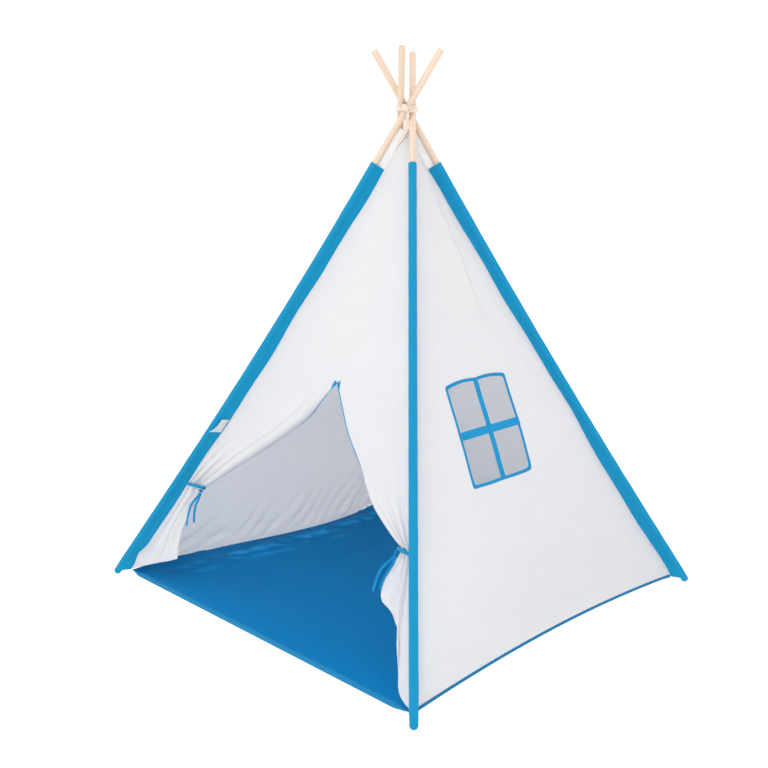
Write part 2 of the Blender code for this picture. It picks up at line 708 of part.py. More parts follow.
def door_edge_binding(steps=5):
    """Blue binding on the door's edges at the apex, where they aren't rolled over yet."""
    reach_share = 0.22
    for side in ("left", "right"):
        sign = door_side(side)[0]
        places = [reach_share * (i + 0.6) / steps for i in range(steps + 1)]
        rings = []
        for share in places:
            across, up, out = drawn_edge(side, share)
            gap = -sign * CLOTH_GAP
            half = BINDING_THICKNESS / 2
            inner = across - sign * DOOR_BINDING_WIDTH * min(1.0, share / places[1])
            rings.append([wall_point("door", across + gap, up, out - half),
                          wall_point("door", inner + gap, up, out - half),
                          wall_point("door", inner + gap, up, out + half),
                          wall_point("door", across + gap, up, out + half)])
        loft(f"{side}_door_binding", rings, BLUE_TAPE)


def tie_frame(side):
    """A door tie's centre in the bundle, with unit vectors along it, up the wall and out."""
    sign, tie_up, bundle = door_side(side)[:3]
    edge = sign * wall_width("door", tie_up) / 2
    centre = wall_point("door", edge - sign * bundle / 2, tie_up, -BUNDLE_SET_IN / 2)
    seam = wall_point("door", edge, tie_up)
    free = wall_point("door", edge - sign * bundle, tie_up, -BUNDLE_SET_IN)
    along = (free - seam).normalized()
    up = (wall_point("door", 0.0, tie_up + bundle)
          - wall_point("door", 0.0, tie_up)).normalized()
    out = up.cross(along).normalized() * (1 if side == "right" else -1)
    return centre, along, up, -out if out.y > 0 else out


def tie_depth():
    """How far a door tie stands from the middle of the gathered cloth."""
    return FOLD_DEPTH * 1.3 + CLOTH_THICKNESS


def door_tie(side, steps=8):
    """Tape that leaves the seam, runs round the gathered cloth and comes back inside."""
    bundle = door_side(side)[2]
    centre, along, up, out = tie_frame(side)
    depth = tie_depth()
    start = -bundle / 2 + SEAM_ALLOWANCE
    path = [(start, 0.6 * depth), (start / 2, depth)]
    for i in range(steps + 1):
        a = math.pi / 2 - math.pi * i / steps
        path.append((bundle / 2 + depth * math.cos(a), depth * math.sin(a)))
    path += [(start / 2, -depth), (start, -0.6 * depth)]
    rings = []
    for i, (x, y) in enumerate(path):
        before, after = path[max(i - 1, 0)], path[min(i + 1, len(path) - 1)]
        run = Vector((after[0] - before[0], after[1] - before[1])).normalized()
        side_way = along * run.y * -1 + out * run.x
        here = centre + along * x + out * y
        half, thick = up * DOOR_TIE_WIDTH / 2, side_way * DOOR_TIE_THICKNESS / 2
        rings.append([here - half - thick, here + half - thick,
                      here + half + thick, here - half + thick])
    loft(f"{side}_door_tie", rings, BLUE_TAPE)


def knot(name, centre, radius, flatten, material):
    """A small round knot."""
    bm = bmesh.new()
    bmesh.ops.create_uvsphere(bm, u_segments=12, v_segments=8, radius=radius)
    bmesh.ops.scale(bm, vec=flatten, verts=bm.verts)
    bmesh.ops.translate(bm, vec=centre, verts=bm.verts)
    mesh = bpy.data.meshes.new(name)
    bm.to_mesh(mesh)
    bm.free()
    mesh.shade_smooth()
    return add_part(name, mesh, material)


def knot_centre(side):
    """Where a door tie is knotted: at its free end, just under the tape."""
    bundle = door_side(side)[2]
    centre, along, up, out = tie_frame(side)
    round_way = tie_depth() * math.sqrt(0.5)
    drop = DOOR_TIE_WIDTH / 2 + DOOR_KNOT_RADIUS * KNOT_FLATNESS_SHARE + CLOTH_GAP
    return centre + along * (bundle / 2 + round_way) + out * round_way - up * drop


def tie_end_routes():
    """Routes of the free tie ends, from their knots: right, up and out of the door wall."""
    return {
        ("left", "outer"): [(-2.9, 0, 0), (-3.2, -6, 0.3), (-7, -20, 4), (-12, -40, 8),
                            (-10, -66, 9), (-3, -100, 8)],
        ("left", "inner"): [(2.9, 0, 0), (3.2, -6, 0.3), (6, -20, 4), (9, -40, 8),
                            (16, -60, 9), (25, -82, 8)],
        ("right", "outer"): [(-2.9, 0, 0), (-3.4, -6, 0.3), (-10, -20, 5), (-19, -40, 11),
                             (-23, -64, 12), (-23, -98, 12)],
        ("right", "inner"): [(2.9, 0, 0), (3.2, -6, 0.3), (6, -20, 6), (5, -40, 13),
                             (1, -60, 15), (-1, -86, 15)],
    }


def floor_mat(steps=16):
    """Mat sewn to the hems: it lies on the floor and climbs gently to its edges."""
    inner = HEM_THICKNESS / 2 + CLOTH_GAP + MAT_THICKNESS / 4
    front_half = wall_width("door", 0.0) / 2

    def corner_point(corner):
        rise = CORNER_RISE - HEM_HEIGHT / 2
        return pole_matrix(corner) @ Vector((SLEEVE_DEPTH + inner, 0.0, rise))

    def edge(wall, share):
        def line(part):
            across = (part - 0.5) * wall_width(wall, 0.0)
            return wall_point(wall, across, hem_line(wall, across, HEM_HEIGHT / 2), -inner)

        left, right = (corner_point(corner) for corner in WALLS[wall])
        return (line(share) + (left - line(0.0)) * (1 - share) ** 6
                + (right - line(1.0)) * share ** 6)

    def front(share):
        point = corner_point("front_left").lerp(corner_point("front_right"), share)
        point.z -= SILL_SAG * math.sin(math.pi * share)
        return point

    patch = []
    for i in range(steps + 1):
        line = []
        for j in range(steps + 1):
            a, b = j / steps, i / steps
            low, high = front(a), edge("rear", 1 - a)
            left, right = edge("side", 1 - b), edge("window", b)
            corners = (front(0.0).lerp(front(1.0), a)).lerp(
                edge("rear", 1.0).lerp(edge("rear", 0.0), a), b)
            point = low.lerp(high, b) + left.lerp(right, a) - corners
            nearest = min(a, 1 - a, b, 1 - b) * 2 * front_half
            climb = max(0.0, 1 - nearest / MAT_RISE_WIDTH) ** 1.3
            edge_height = max(low.z * (1 - b) + high.z * b, left.z * (1 - a) + right.z * a)
            point.z = MAT_THICKNESS / 2 + (edge_height - MAT_THICKNESS / 2) * climb
            line.append(point)
        patch.append(line)
    sheet("floor_mat", [patch], BLUE_NYLON, MAT_THICKNESS)
    return patch[0]


def sill_binding(front_line):
    """Binding sewn along the mat's front edge, from one front corner to the other."""
    rings = []
    half = BINDING_THICKNESS / 2
    line = list(front_line)
    line[0] = line[0].lerp(line[1], 0.1)
    line[-1] = line[-1].lerp(line[-2], 0.1)
    for i, point in enumerate(line):
        back = point + Vector((0.0, -CLOTH_GAP, 0.0))
        width = SILL_BINDING_WIDTH * (1.0 if 0 < i < len(line) - 1 else 0.3)
        front = back + Vector((0.0, -width, 0.0))
        lift = Vector((0.0, 0.0, half))
        rings.append([front - lift, back - lift, back + lift, front + lift])
    loft("door_sill_binding", rings, BLUE_TAPE)


def top_tie():
    """Cotton cord wound round the crossing as one unbroken tube."""
    loop_sides = 24
    count = loop_sides * TOP_TURNS
    points = [turn_point(360 * i / loop_sides) for i in range(count + 1)]
    first = (points[0] - points[1]).normalized() * 2 * TOP_CORD_RADIUS
    last = (points[-1] - points[-2]).normalized() * 2 * TOP_CORD_RADIUS
    points = [points[0] + first] + points + [points[-1] + last]
    tube("top_tie", points, TOP_CORD_RADIUS, CREAM_TAPE)
    places = np.array(points)
    apart = np.linalg.norm(places[:, None] - places[None, :], axis=2)
    steps_between = abs(np.subtract.outer(np.arange(len(places)), np.arange(len(places))))
    least = apart[steps_between > loop_sides / 2].min() - 2 * TOP_CORD_RADIUS
    print("top tie: least gap between its turns", round(least / MM, 2), "mm")


def turn_point(degrees):
    """A point of the winding, so many degrees after its start just left of the front corner."""
    poles_reach = POLE_OFFSET + POLE_RADIUS / math.cos(SPLAY / 2)
    reach = poles_reach + TOP_TIE_CLEARANCE + TOP_CORD_RADIUS
    pitch = 2 * TOP_CORD_RADIUS + TOP_CORD_GAP
    height = CROSSING_HEIGHT + pitch * (degrees / 360 - TOP_TURNS / 2)
    return round_corner("front_right", degrees - 6, reach, height)


def round_corner(corner, degrees, reach, height):
    """A point at a distance from the middle line, turned so far anticlockwise from a corner."""
    outward, around = corner_axes(corner)
    angle = math.radians(degrees)
    point = outward * reach * math.cos(angle) + around * reach * math.sin(angle)
    point.z = height
    return point


def turn_from_corner(corner, point):
    """How many degrees anticlockwise from a corner a point lies, seen from above."""
    outward, around = corner_axes(corner)
    return math.degrees(math.atan2(point.dot(around), point.dot(outward)))


def top_knot_and_strap():
    """The tie's knot, and the strap that holds the cover's point up to it."""
    flatness_shares = Vector((0.7, 0.7, 0.9))
    reach = turn_point(0.0).xy.length
    knot_reach = reach + TOP_CORD_RADIUS + TOP_KNOT_RADIUS * flatness_shares.x + CLOTH_GAP
    centre = round_corner("front_right", 23, knot_reach, CROSSING_HEIGHT)
    knot("top_tie_knot", centre, TOP_KNOT_RADIUS, flatness_shares, CREAM_TAPE)

    up = Vector((0.0, 0.0, 1.0))
    top = wall_top("door")
    low = wall_point("door", SEAM_ALLOWANCE - wall_width("door", top) / 2, top)
    low += up * (CLOTH_THICKNESS / 2 + CLOTH_GAP)
    high_turn = 20
    high = turn_point(high_turn) - up * (TOP_CORD_RADIUS + STRAP_RADIUS + CLOTH_GAP)
    low_turn, low_reach = turn_from_corner("front_right", low), low.xy.length
    # How far each place lies between the cover's point and the tie, in turn and in reach,
    # and how much of the drop is left.
    place_shares = ((0.04, 0.36, 0.68), (0.18, 0.81, 0.42), (0.59, 1.0, 0.24))
    route = [low, low + up * 4 * STRAP_RADIUS]
    for turn_share, reach_share, drop_share in place_shares:
        degrees = low_turn + (high_turn - low_turn) * turn_share
        distance = low_reach + (reach - low_reach) * reach_share
        height = CROSSING_HEIGHT - (CROSSING_HEIGHT - low.z) * drop_share
        route.append(round_corner("front_right", degrees, distance, height))
    route.append(high)
    tube("top_tie_strap", smooth_route(route, 2.5 * STRAP_RADIUS), STRAP_RADIUS, CREAM_TAPE)


def seam_tab(fold):
    """A bare care tab, sewn in the left front seam and lying over the sleeve."""
    def flank(x):
        neck = SLEEVE_DEPTH - SEAM_ALLOWANCE
        tangent = math.acos(SLEEVE_RADIUS / neck)
        touch = SLEEVE_RADIUS * math.cos(tangent)
        if x <= touch:
            return math.sqrt(max(SLEEVE_RADIUS ** 2 - x * x, 0.0))
        side = SLEEVE_RADIUS * math.sin(tangent)
        return side + (SEAM_HALF_THICKNESS - side) * min(1.0, (x - touch) / (neck - touch))

    rings = []
    reach = SLEEVE_DEPTH - SEAM_ALLOWANCE
    for i in range(7):
        share = i / 6
        x = reach - share * (reach + SLEEVE_RADIUS * 0.55)
        y = -flank(x) - CLOTH_GAP * 2
        rise = TAB_RISE - TAB_SLANT * share
        half = TAB_WIDTH / 2 * (1 - 0.55 * share)
        outer = y - TAB_THICKNESS
        rings.append([Vector((x, y, rise - half)), Vector((x, y, rise + half)),
                      Vector((x, outer, rise + half)), Vector((x, outer, rise - half))])
    place_on_pole(loft("seam_tab", rings, WHITE_CLOTH), fold)


FLOOR_CUTTER = floor_cutter()
FOLDS = {}
for corner_name in CORNERS:
    FOLDS[corner_name] = fold_axis(corner_name)
    pole_sections(corner_name, FOLDS[corner_name])
    sleeve(corner_name, FOLDS[corner_name])

hem("rear_hem", "rear", plain_wall("rear_panel", "rear"))
hem("side_hem", "side", plain_wall("side_panel", "side"))
hem("window_hem", "window", window_wall())
window_trim()

door_wall()
door_edge_binding()
for door_name in ("left", "right"):
    flap(door_name)
    door_tie(door_name)
    knot(f"{door_name}_door_tie_knot", knot_centre(door_name), DOOR_KNOT_RADIUS,
         Vector((1.0, KNOT_FLATNESS_SHARE, KNOT_FLATNESS_SHARE)), BLUE_TAPE)
for (door_name, end_name), route_points in tie_end_routes().items():
    start_point = knot_centre(door_name)
    away = wall_normal("door")
    across_way = Vector((1.0, 0.0, 0.0))
    down_way = (wall_point("door", 0.0, LEFT_TIE_RISE)
                - wall_point("door", 0.0, 0.0)).normalized()
    exit_drop = down_way * -(DOOR_KNOT_RADIUS * KNOT_FLATNESS_SHARE + CLOTH_GAP)
    cord = [start_point + exit_drop + across_way * x * MM + down_way * y * MM + away * z * MM
            for x, y, z in route_points]
    tube(f"{door_name}_door_tie_end_{end_name}", smooth_route(cord, 2.5 * 2 * TIE_END_RADIUS),
         TIE_END_RADIUS, BLUE_TAPE, resolution=2)

sill_binding(floor_mat())
top_tie()
top_knot_and_strap()
seam_tab(FOLDS["front_left"])
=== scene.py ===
# %% [markdown]
# # A play teepee
# Four wooden poles cross at the top and stand in blue sleeves. The white cover is sewn to the
# sleeves, with a tied-back door in front, a window on the right and a blue mat on the floor.
# The solids of the poles and the cloth are loaded first. They are the fixed frame in which every
# fine surface is placed, so nothing has to be fitted by eye.

import math

import bpy
import numpy as np
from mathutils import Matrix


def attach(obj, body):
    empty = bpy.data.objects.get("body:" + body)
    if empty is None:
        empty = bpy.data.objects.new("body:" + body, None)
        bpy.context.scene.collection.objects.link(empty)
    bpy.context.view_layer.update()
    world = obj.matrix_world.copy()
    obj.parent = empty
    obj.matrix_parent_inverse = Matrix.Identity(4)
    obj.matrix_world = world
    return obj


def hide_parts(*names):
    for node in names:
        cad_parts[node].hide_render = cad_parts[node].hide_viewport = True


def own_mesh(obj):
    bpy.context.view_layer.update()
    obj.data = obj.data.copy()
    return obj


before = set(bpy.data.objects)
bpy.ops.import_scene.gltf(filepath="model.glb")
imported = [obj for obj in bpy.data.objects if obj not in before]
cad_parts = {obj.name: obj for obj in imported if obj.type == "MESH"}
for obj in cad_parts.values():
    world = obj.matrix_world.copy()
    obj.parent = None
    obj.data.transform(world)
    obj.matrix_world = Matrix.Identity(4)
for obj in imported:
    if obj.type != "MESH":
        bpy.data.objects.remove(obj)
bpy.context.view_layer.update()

# %% [markdown]
# ## Sizes
# The sizes of the real teepee, in metres. The poles are 18 mm dowels, and everything sewn to
# them is placed along a pole or on a wall, never by itself. A wall is measured across from its
# middle line and up its slope.

# %% Sizes
MM = 0.001
BASE_WIDTH = 1220 * MM
BASE_DEPTH = 1180 * MM
CROSSING_HEIGHT = 1357 * MM
POLE_LENGTH = 1768 * MM
POLE_RADIUS = 9 * MM
POLE_OFFSET = 16 * MM
CORNER_RISE = 40 * MM
SLEEVE_RADIUS = 10.3 * MM
SLEEVE_DEPTH = 31.5 * MM
SEAM_ALLOWANCE = 4 * MM
SEAM_INSET = 30.2 * MM
SEAM_SIDE = 1.9 * MM
SOCK_RISE = 15 * MM
CLOTH = 1.2 * MM
WALL_HOLLOW = 7 * MM
HEM_HEIGHT = 10 * MM
HEM_ARCH = 22 * MM

CORNERS = {
    "front_left": (-1, -1),
    "front_right": (1, -1),
    "rear_right": (1, 1),
    "rear_left": (-1, 1),
}
WALLS = {
    "door": ("front_left", "front_right"),
    "window": ("front_right", "rear_right"),
    "rear": ("rear_right", "rear_left"),
    "side": ("rear_left", "front_left"),
}

FOOT_RADIUS = math.hypot(BASE_WIDTH, BASE_DEPTH) / 2
CROSSING_RISE = math.hypot(FOOT_RADIUS, CROSSING_HEIGHT)
SPLAY = math.atan2(FOOT_RADIUS, CROSSING_HEIGHT)
SLEEVE_TOP = CROSSING_RISE - 175 * MM
SEAM_TOP = CROSSING_RISE - 54 * MM
FOOT_RISE = (SLEEVE_RADIUS - 0.5 * MM) / math.cos(SPLAY)
print("a pole leans", round(math.degrees(SPLAY), 2), "degrees")

# %% [markdown]
# ## Camera
# The camera stands in front of the right front pole and looks a little down. It comes first,
# because the free ends of the door ties are judged by what the camera sees of them. A camera
# looks along its own -Z axis, so its matrix is built from the directions right, up and back.

# %% Camera
CAMERA_TURN, CAMERA_TILT, CAMERA_ROLL = 45.80, 12.24, math.radians(0.547)
CAMERA_DISTANCE = 2.958
AIM_ASIDE = -0.0539
AIM_HEIGHT = 0.5877
LENS_SHARE = 1035.6 / 768


def seen_from(turn, tilt):
    """Unit vector from the tent towards a camera or lamp at two angles, and the level one to
    the right of it."""
    turn, tilt = math.radians(turn), math.radians(tilt)
    flat = np.array([math.sin(turn), -math.cos(turn), 0.0]) * math.cos(tilt)
    return flat + (0.0, 0.0, math.sin(tilt)), np.array([math.cos(turn), math.sin(turn), 0.0])


def face(obj, right, up, back, place):
    """Adds a camera or lamp: the columns of its matrix are right, up, back and its place."""
    placing = np.eye(4)
    placing[:3] = np.stack([right, up, back, place], -1)
    obj.matrix_world = placing.T.tolist()
    bpy.context.scene.collection.objects.link(obj)


back, level = seen_from(CAMERA_TURN, CAMERA_TILT)
upward = np.cross(back, level)
right_way = level * math.cos(CAMERA_ROLL) + upward * math.sin(CAMERA_ROLL)
up_way = upward * math.cos(CAMERA_ROLL) - level * math.sin(CAMERA_ROLL)
eye = level * AIM_ASIDE + np.array([0.0, 0.0, AIM_HEIGHT]) + back * CAMERA_DISTANCE

lens = bpy.data.cameras.new("camera")
lens.sensor_width = 36.0
lens.lens = lens.sensor_width * LENS_SHARE
lens.clip_end = 60.0
camera = bpy.data.objects.new("camera", lens)
face(camera, right_way, up_way, back, eye)
bpy.context.scene.camera = camera
print("lens", round(lens.lens, 1), "mm, eye at", eye.round(3))

# %% [markdown]
# ## Poles as rulers
# A point beside a pole is given by three distances: inward, square to the pole and towards the
# middle of the tent; sideways, anticlockwise round the tent; and the rise up the pole. The
# solids are straight, but on the real teepee the taut cloth bends its thin poles a little
# inwards, the left one most, so the surfaces follow that gentle bow.

# %% Poles as rulers
BOW = {"front_left": 18 * MM, "front_right": 15 * MM, "rear_right": 15 * MM, "rear_left": 15 * MM}
VERTICAL = np.array([0.0, 0.0, 1.0])


def unit(vector):
    """The same direction with length 1."""
    return vector / np.linalg.norm(vector, axis=-1, keepdims=True)


def shares(count):
    """Even shares from 0 to 1."""
    return np.linspace(0.0, 1.0, count)


def pole_frame(corner):
    """Foot of a pole, and its unit vectors inward, sideways and up the pole."""
    outward = unit(np.array([*CORNERS[corner], 0.0]) * (BASE_WIDTH, BASE_DEPTH, 0.0))
    sideways = np.cross(VERTICAL, outward)
    up = math.cos(SPLAY) * VERTICAL - math.sin(SPLAY) * outward
    inward = -math.cos(SPLAY) * outward - math.sin(SPLAY) * VERTICAL
    return FOOT_RADIUS * outward + POLE_OFFSET * sideways, inward, sideways, up


def bend(corner, rise):
    """How far the taut cloth bows a pole inward: half a sine wave from its foot to its tip."""
    return BOW[corner] * np.sin(math.pi * np.clip(rise / POLE_LENGTH, 0.0, 1.0))


def by_pole(corner, inward, sideways, rise, bowed=1.0):
    """Foot plus each distance times its unit vector, with the bend added to the inward one."""
    foot, inward_way, side_way, up = pole_frame(corner)
    inward, sideways, rise = np.broadcast_arrays(inward, sideways, rise)
    inward = inward + bend(corner, rise) * bowed
    return (foot + inward[..., None] * inward_way + sideways[..., None] * side_way
            + rise[..., None] * up)


def smooth(x):
    """0 below 0, 1 above 1, and the even S 3x^2 - 2x^3 between."""
    x = np.clip(x, 0.0, 1.0)
    return x * x * (3 - 2 * x)


def bump_at(x, middle, width):
    """A bell: 1 at the middle, fading over the width on both sides."""
    return np.exp(-((x - middle) / width) ** 2)


def ripples(x, y, wavelength, seed):
    """Sum of six sines in several directions, with lengths near the wavelength, -1 to 1."""
    dice = np.random.default_rng(seed)
    turns, sizes, phases = (dice.uniform(*span, 6) for span in (
        (0, math.pi), (0.7, 1.5), (0, 2 * math.pi)))
    total = 0.0
    for turn, size, phase in zip(turns, sizes, phases):
        along = x * math.cos(turn) + y * math.sin(turn)
        total = total + np.sin(2 * math.pi * along / (wavelength * size) + phase)
    return total / 6


def seam_wave(corner, rise):
    """How much further in (+) or out (-) the sewn edge lies: long soft waves, as hand-fed
    cloth has, a dip near the left curtain's foot and a long one up the rear right pole."""
    seed = list(CORNERS).index(corner)
    wave = 1.8 * MM * np.sin(rise / (95 * MM) + 2 * seed)
    wave = wave + 1.1 * MM * np.sin(rise / (41 * MM) + seed)
    if corner == "front_left":
        wave = wave - 9 * MM * bump_at(rise, 92 * MM, 28 * MM)
    if corner == "rear_right":
        wave = wave - 8 * MM * bump_at(rise, 850 * MM, 380 * MM)
    return wave * smooth((rise - CORNER_RISE) / (30 * MM)) * smooth((SEAM_TOP - rise) / (200 * MM))


for name in CORNERS:
    print(name, "foot at", pole_frame(name)[0].round(3))

# %% [markdown]
# ## Walls as rulers
# Each wall is stretched between two sleeves, so it is a ruled surface: a straight line from one
# seam to the other at every height, drawn in a little in the middle where the cloth hangs
# slack. A point of it is a share of the way across, a height up the slope, and a distance out.
# The mat is cut a little small, so it draws in the foot of the left wall, most near the back.

# %% Walls as rulers
FOOT_DRAWN = {"door": 0.0, "window": 0.0, "rear": 25 * MM, "side": 106 * MM}
FOOT_DRAWN_HEIGHT = 420 * MM
HEM_CALM = 35 * MM
ARCH_SHARE = {"door": 1.0, "window": 1.0, "rear": 0.6, "side": -0.5}
RISE_BY_SLOPE = {wall: 1.0 for wall in WALLS}
WALL_TOP = {}
NORMAL = {}


def seam_points(wall, up, waves=0.0):
    """Points of the left and right seams of a wall at slope heights, with their waves or not,
    beside straight poles."""
    rise = CORNER_RISE + np.asarray(up) * RISE_BY_SLOPE[wall]
    return [by_pole(corner, SEAM_INSET + waves * seam_wave(corner, rise), side * SEAM_SIDE, rise,
                    bowed=0.0) for corner, side in zip(WALLS[wall], (1, -1))]


def wall_width(wall, up):
    """Distance between the two seams, without their waves."""
    left, right = seam_points(wall, up)
    return np.linalg.norm(right - left, axis=-1)


def on_wall(wall, share, up, out=0.0, drawn=None):
    """Left seam + share * (right seam - left seam), then out along the wall's normal, less the
    hollow 4 s (1 - s) sin(pi * height share). Each seam is drawn in by its pole's bend, and
    the wall beside it by that times (1 - 2 s)^2, unless drawn gives other shares for it. Last,
    the foot is drawn in by its depth * sin(pi (1 - s)^1.6), fading up the wall."""
    share, up, out = np.broadcast_arrays(share, up, out)
    if drawn is None:
        drawn = np.maximum(1 - 2 * share, 0.0) ** 2, np.maximum(2 * share - 1, 0.0) ** 2
    left, right = seam_points(wall, up, waves=1.0)
    out = out - WALL_HOLLOW * 4 * share * (1 - share) * np.sin(
        math.pi * np.clip(up / WALL_TOP[wall], 0, 1))
    point = left + share[..., None] * (right - left) + out[..., None] * NORMAL[wall]
    for corner, pulled in zip(WALLS[wall], drawn):
        pulled = pulled * bend(corner, CORNER_RISE + up * RISE_BY_SLOPE[wall])
        point = point + pulled[..., None] * pole_frame(corner)[1]
    foot = FOOT_DRAWN[wall] * np.sin(math.pi * np.clip(1 - share, 0.0, 1.0) ** 1.6)
    foot = foot * np.clip(1 - up / FOOT_DRAWN_HEIGHT, 0.0, 1.0) ** 1.5
    return point - foot[..., None] * unit(NORMAL[wall] * (1.0, 1.0, 0.0))


def placed(wall, across, up, out=0.0, drawn=None):
    """The same, from a distance across from the wall's middle line."""
    return on_wall(wall, 0.5 + across / wall_width(wall, up), up, out, drawn)


def hem_rise(wall, share):
    """Slope height of a wall's bottom edge: an arch, lowest at the corners, but for the left
    wall, whose slack foot sinks to the floor."""
    return HEM_HEIGHT / 2 + HEM_ARCH * ARCH_SHARE[wall] * (1 - (2 * share - 1) ** 2)


def above_hem(wall, across, up):
    """How far a place lies above the wall's bottom edge."""
    return up - hem_rise(wall, 0.5 + across / wall_width(wall, 0.0))


for wall in WALLS:
    low_left, low_right = seam_points(wall, 0.0)
    high_left, high_right = seam_points(wall, SEAM_TOP - CORNER_RISE)
    slope = (high_left + high_right - low_left - low_right) / 2
    WALL_TOP[wall] = np.linalg.norm(slope)
    RISE_BY_SLOPE[wall] = (SEAM_TOP - CORNER_RISE) / WALL_TOP[wall]
    NORMAL[wall] = unit(np.cross(low_right - low_left, slope))
    print(wall, "wall is", round(float(WALL_TOP[wall]), 3), "m up its slope")

# %% [markdown]
# ## Turning grids into cloth and tape
# Every piece is a grid of points. Cloth is the grid moved half its thickness to each side, with
# a narrow strip that closes every edge. A tape, cord or pole is a ring of points carried along
# a path, with its ends closed by a fan of triangles. Each point also gets its place in the
# flat cloth, in metres, so that a weave keeps its real size however the cloth is draped, and
# cloth stores how deep a crease each point lies in, from 0 to 1, on its own side, for the
# painted shade that its material puts into creases.

# %% Mesh makers
CREASE_BEND = 100.0
SHARP_EDGE = math.radians(50)


def add_piece(name, points, faces, flat, material):
    """A mesh object from points, arrays of faces and the flat place of each point. If the
    closed skin's signed volume is negative, all its faces are turned over."""
    volume = 0.0
    for group in faces:
        for k in range(1, group.shape[1] - 1):
            first, here, ahead = points[group[:, [0, k, k + 1]].T]
            volume += np.einsum("ij,ij->", first, np.cross(here, ahead))
    if volume < 0:
        faces = [f[:, ::-1] for f in faces]
    mesh = bpy.data.meshes.new(name)
    mesh.from_pydata(points.tolist(), [], [row for f in faces for row in f.tolist()])
    order = np.concatenate([f.ravel() for f in faces])
    layer = mesh.uv_layers.new(name="flat")
    layer.data.foreach_set("uv", flat[order].astype(np.float32).ravel())
    mesh.shade_smooth()
    mesh.set_sharp_from_angle(angle=SHARP_EDGE)
    mesh.materials.append(material)
    obj = bpy.data.objects.new(name, mesh)
    bpy.context.scene.collection.objects.link(obj)
    return obj


def keep_on(piece, name, values, kind="FLOAT", field="value"):
    """Stores a number or a vector on each point of a piece, for its material."""
    store = piece.data.attributes.new(name, kind, "POINT")
    store.data.foreach_set(field, values.astype(np.float32).ravel())


def together(*parts):
    """Arrays of coordinates brought to one shape and stacked into points."""
    return np.stack(np.broadcast_arrays(*parts), -1)


def run_lengths(grid, axis=0):
    """Length along a path or grid from its start, averaged over the other direction."""
    steps = np.linalg.norm(np.diff(grid, axis=axis), axis=-1)
    steps = steps.mean(1 - axis) if steps.ndim > 1 else steps
    return np.concatenate([[0.0], np.cumsum(steps)])


def normals(grid):
    """The cross product of the grid's two gradients, made 1 long."""
    normal = np.cross(np.gradient(grid, axis=1), np.gradient(grid, axis=0))
    return normal / np.maximum(np.linalg.norm(normal, axis=-1, keepdims=True), 1e-12)


def averaged(values, times, axis=0):
    """Values averaged with their neighbours along an axis, going round, several times over."""
    for _ in range(times):
        values = (np.roll(values, 1, axis) + values + np.roll(values, -1, axis)) / 3
    return values


def creases(grid, normal):
    """How sharply each place bends, in 1/m: the part along the normal of the second
    differences, (next - 2 here + previous) / step^2, summed over both directions, and then
    averaged with its neighbours six times over."""
    total = np.zeros(grid.shape)
    for axis in (0, 1):
        ahead = np.roll(grid, -1, axis) - grid
        behind = np.roll(grid, 1, axis) - grid
        step = (np.linalg.norm(ahead, axis=-1) + np.linalg.norm(behind, axis=-1)) / 2
        part = (ahead + behind) / np.maximum(step, 0.5 * MM)[..., None] ** 2
        inner = [slice(None), slice(None)]
        inner[axis] = slice(2, -2)
        total[tuple(inner)] += part[tuple(inner)]
    return averaged(averaged((total * normal).sum(-1), 6), 6, axis=1)


def cloth(name, grid, material, thickness=CLOTH, kept=None, crease_shade=1.0):
    """Grid +/- half the thickness along its normals. kept marks the squares that are cloth, and
    every edge beside a missing one is closed. The last argument scales the painted shade that
    darkens its creases."""
    rows, columns = grid.shape[:2]
    normal = normals(grid)
    points = np.concatenate([(grid + normal * side * thickness / 2).reshape(-1, 3)
                             for side in (1, -1)])
    number = np.arange(rows * columns).reshape(rows, columns)
    quads = np.stack([number[:-1, :-1], number[:-1, 1:], number[1:, 1:], number[1:, :-1]], -1)
    if kept is None:
        kept = np.ones((rows - 1, columns - 1), bool)
    framed = np.pad(kept, 1)
    beside = (framed[:-2, 1:-1], framed[1:-1, 2:], framed[2:, 1:-1], framed[1:-1, :-2])
    faces = [quads[kept], quads[kept][:, ::-1] + rows * columns]
    for k, neighbour in enumerate(beside):
        edge = quads[kept & ~neighbour][:, [k, (k + 1) % 4]]
        faces.append(np.column_stack([edge[:, ::-1], edge + rows * columns]))
    flat = np.stack(np.meshgrid(run_lengths(grid, 1), run_lengths(grid, 0)), -1)
    flat = np.tile(flat.reshape(-1, 2), (2, 1))
    piece = add_piece(name, points, faces, flat, material)
    # Painted shade: each point's crease depth, on its own side, later darkens its colour in the
    # material.
    bent = creases(grid, normal).ravel()
    hollow = np.clip(np.concatenate([bent, -bent]) / CREASE_BEND, 0.0, 1.0)
    keep_on(piece, "crease", crease_shade * hollow)
    return piece


def ringed(name, rings, material, closed=False, flat=None):
    """Quads between neighbouring rings (ring, point, xyz). Ends are closed by triangles to the
    middle point of the last ring, unless the rings close on themselves."""
    count, sides = rings.shape[:2]
    number = np.arange(count * sides).reshape(count, sides)
    last = count if closed else count - 1
    a, b = number[:last], number[np.arange(1, last + 1) % count]
    faces = [np.stack([a, np.roll(a, -1, 1), np.roll(b, -1, 1), b], -1).reshape(-1, 4)]
    points = rings.reshape(-1, 3)
    if flat is None:
        flat = np.stack(np.meshgrid(run_lengths(rings, 1), run_lengths(rings, 0)), -1)
    flat = flat.reshape(-1, 2)
    if not closed:
        points = np.concatenate([points, [rings[0].mean(0), rings[-1].mean(0)]])
        flat = np.concatenate([flat, flat[[0, -1]]])
        first, final = number[0], number[-1]
        faces.append(np.concatenate([
            np.stack([np.roll(first, -1), first, np.full(sides, count * sides)], -1),
            np.stack([final, np.roll(final, -1), np.full(sides, count * sides + 1)], -1)]))
    return add_piece(name, points, faces, flat, material)


def full_turn(count, ahead=0.0):
    """Even angles once round, the first one a part of a step ahead."""
    return 2 * math.pi * (np.arange(count) + ahead) / count


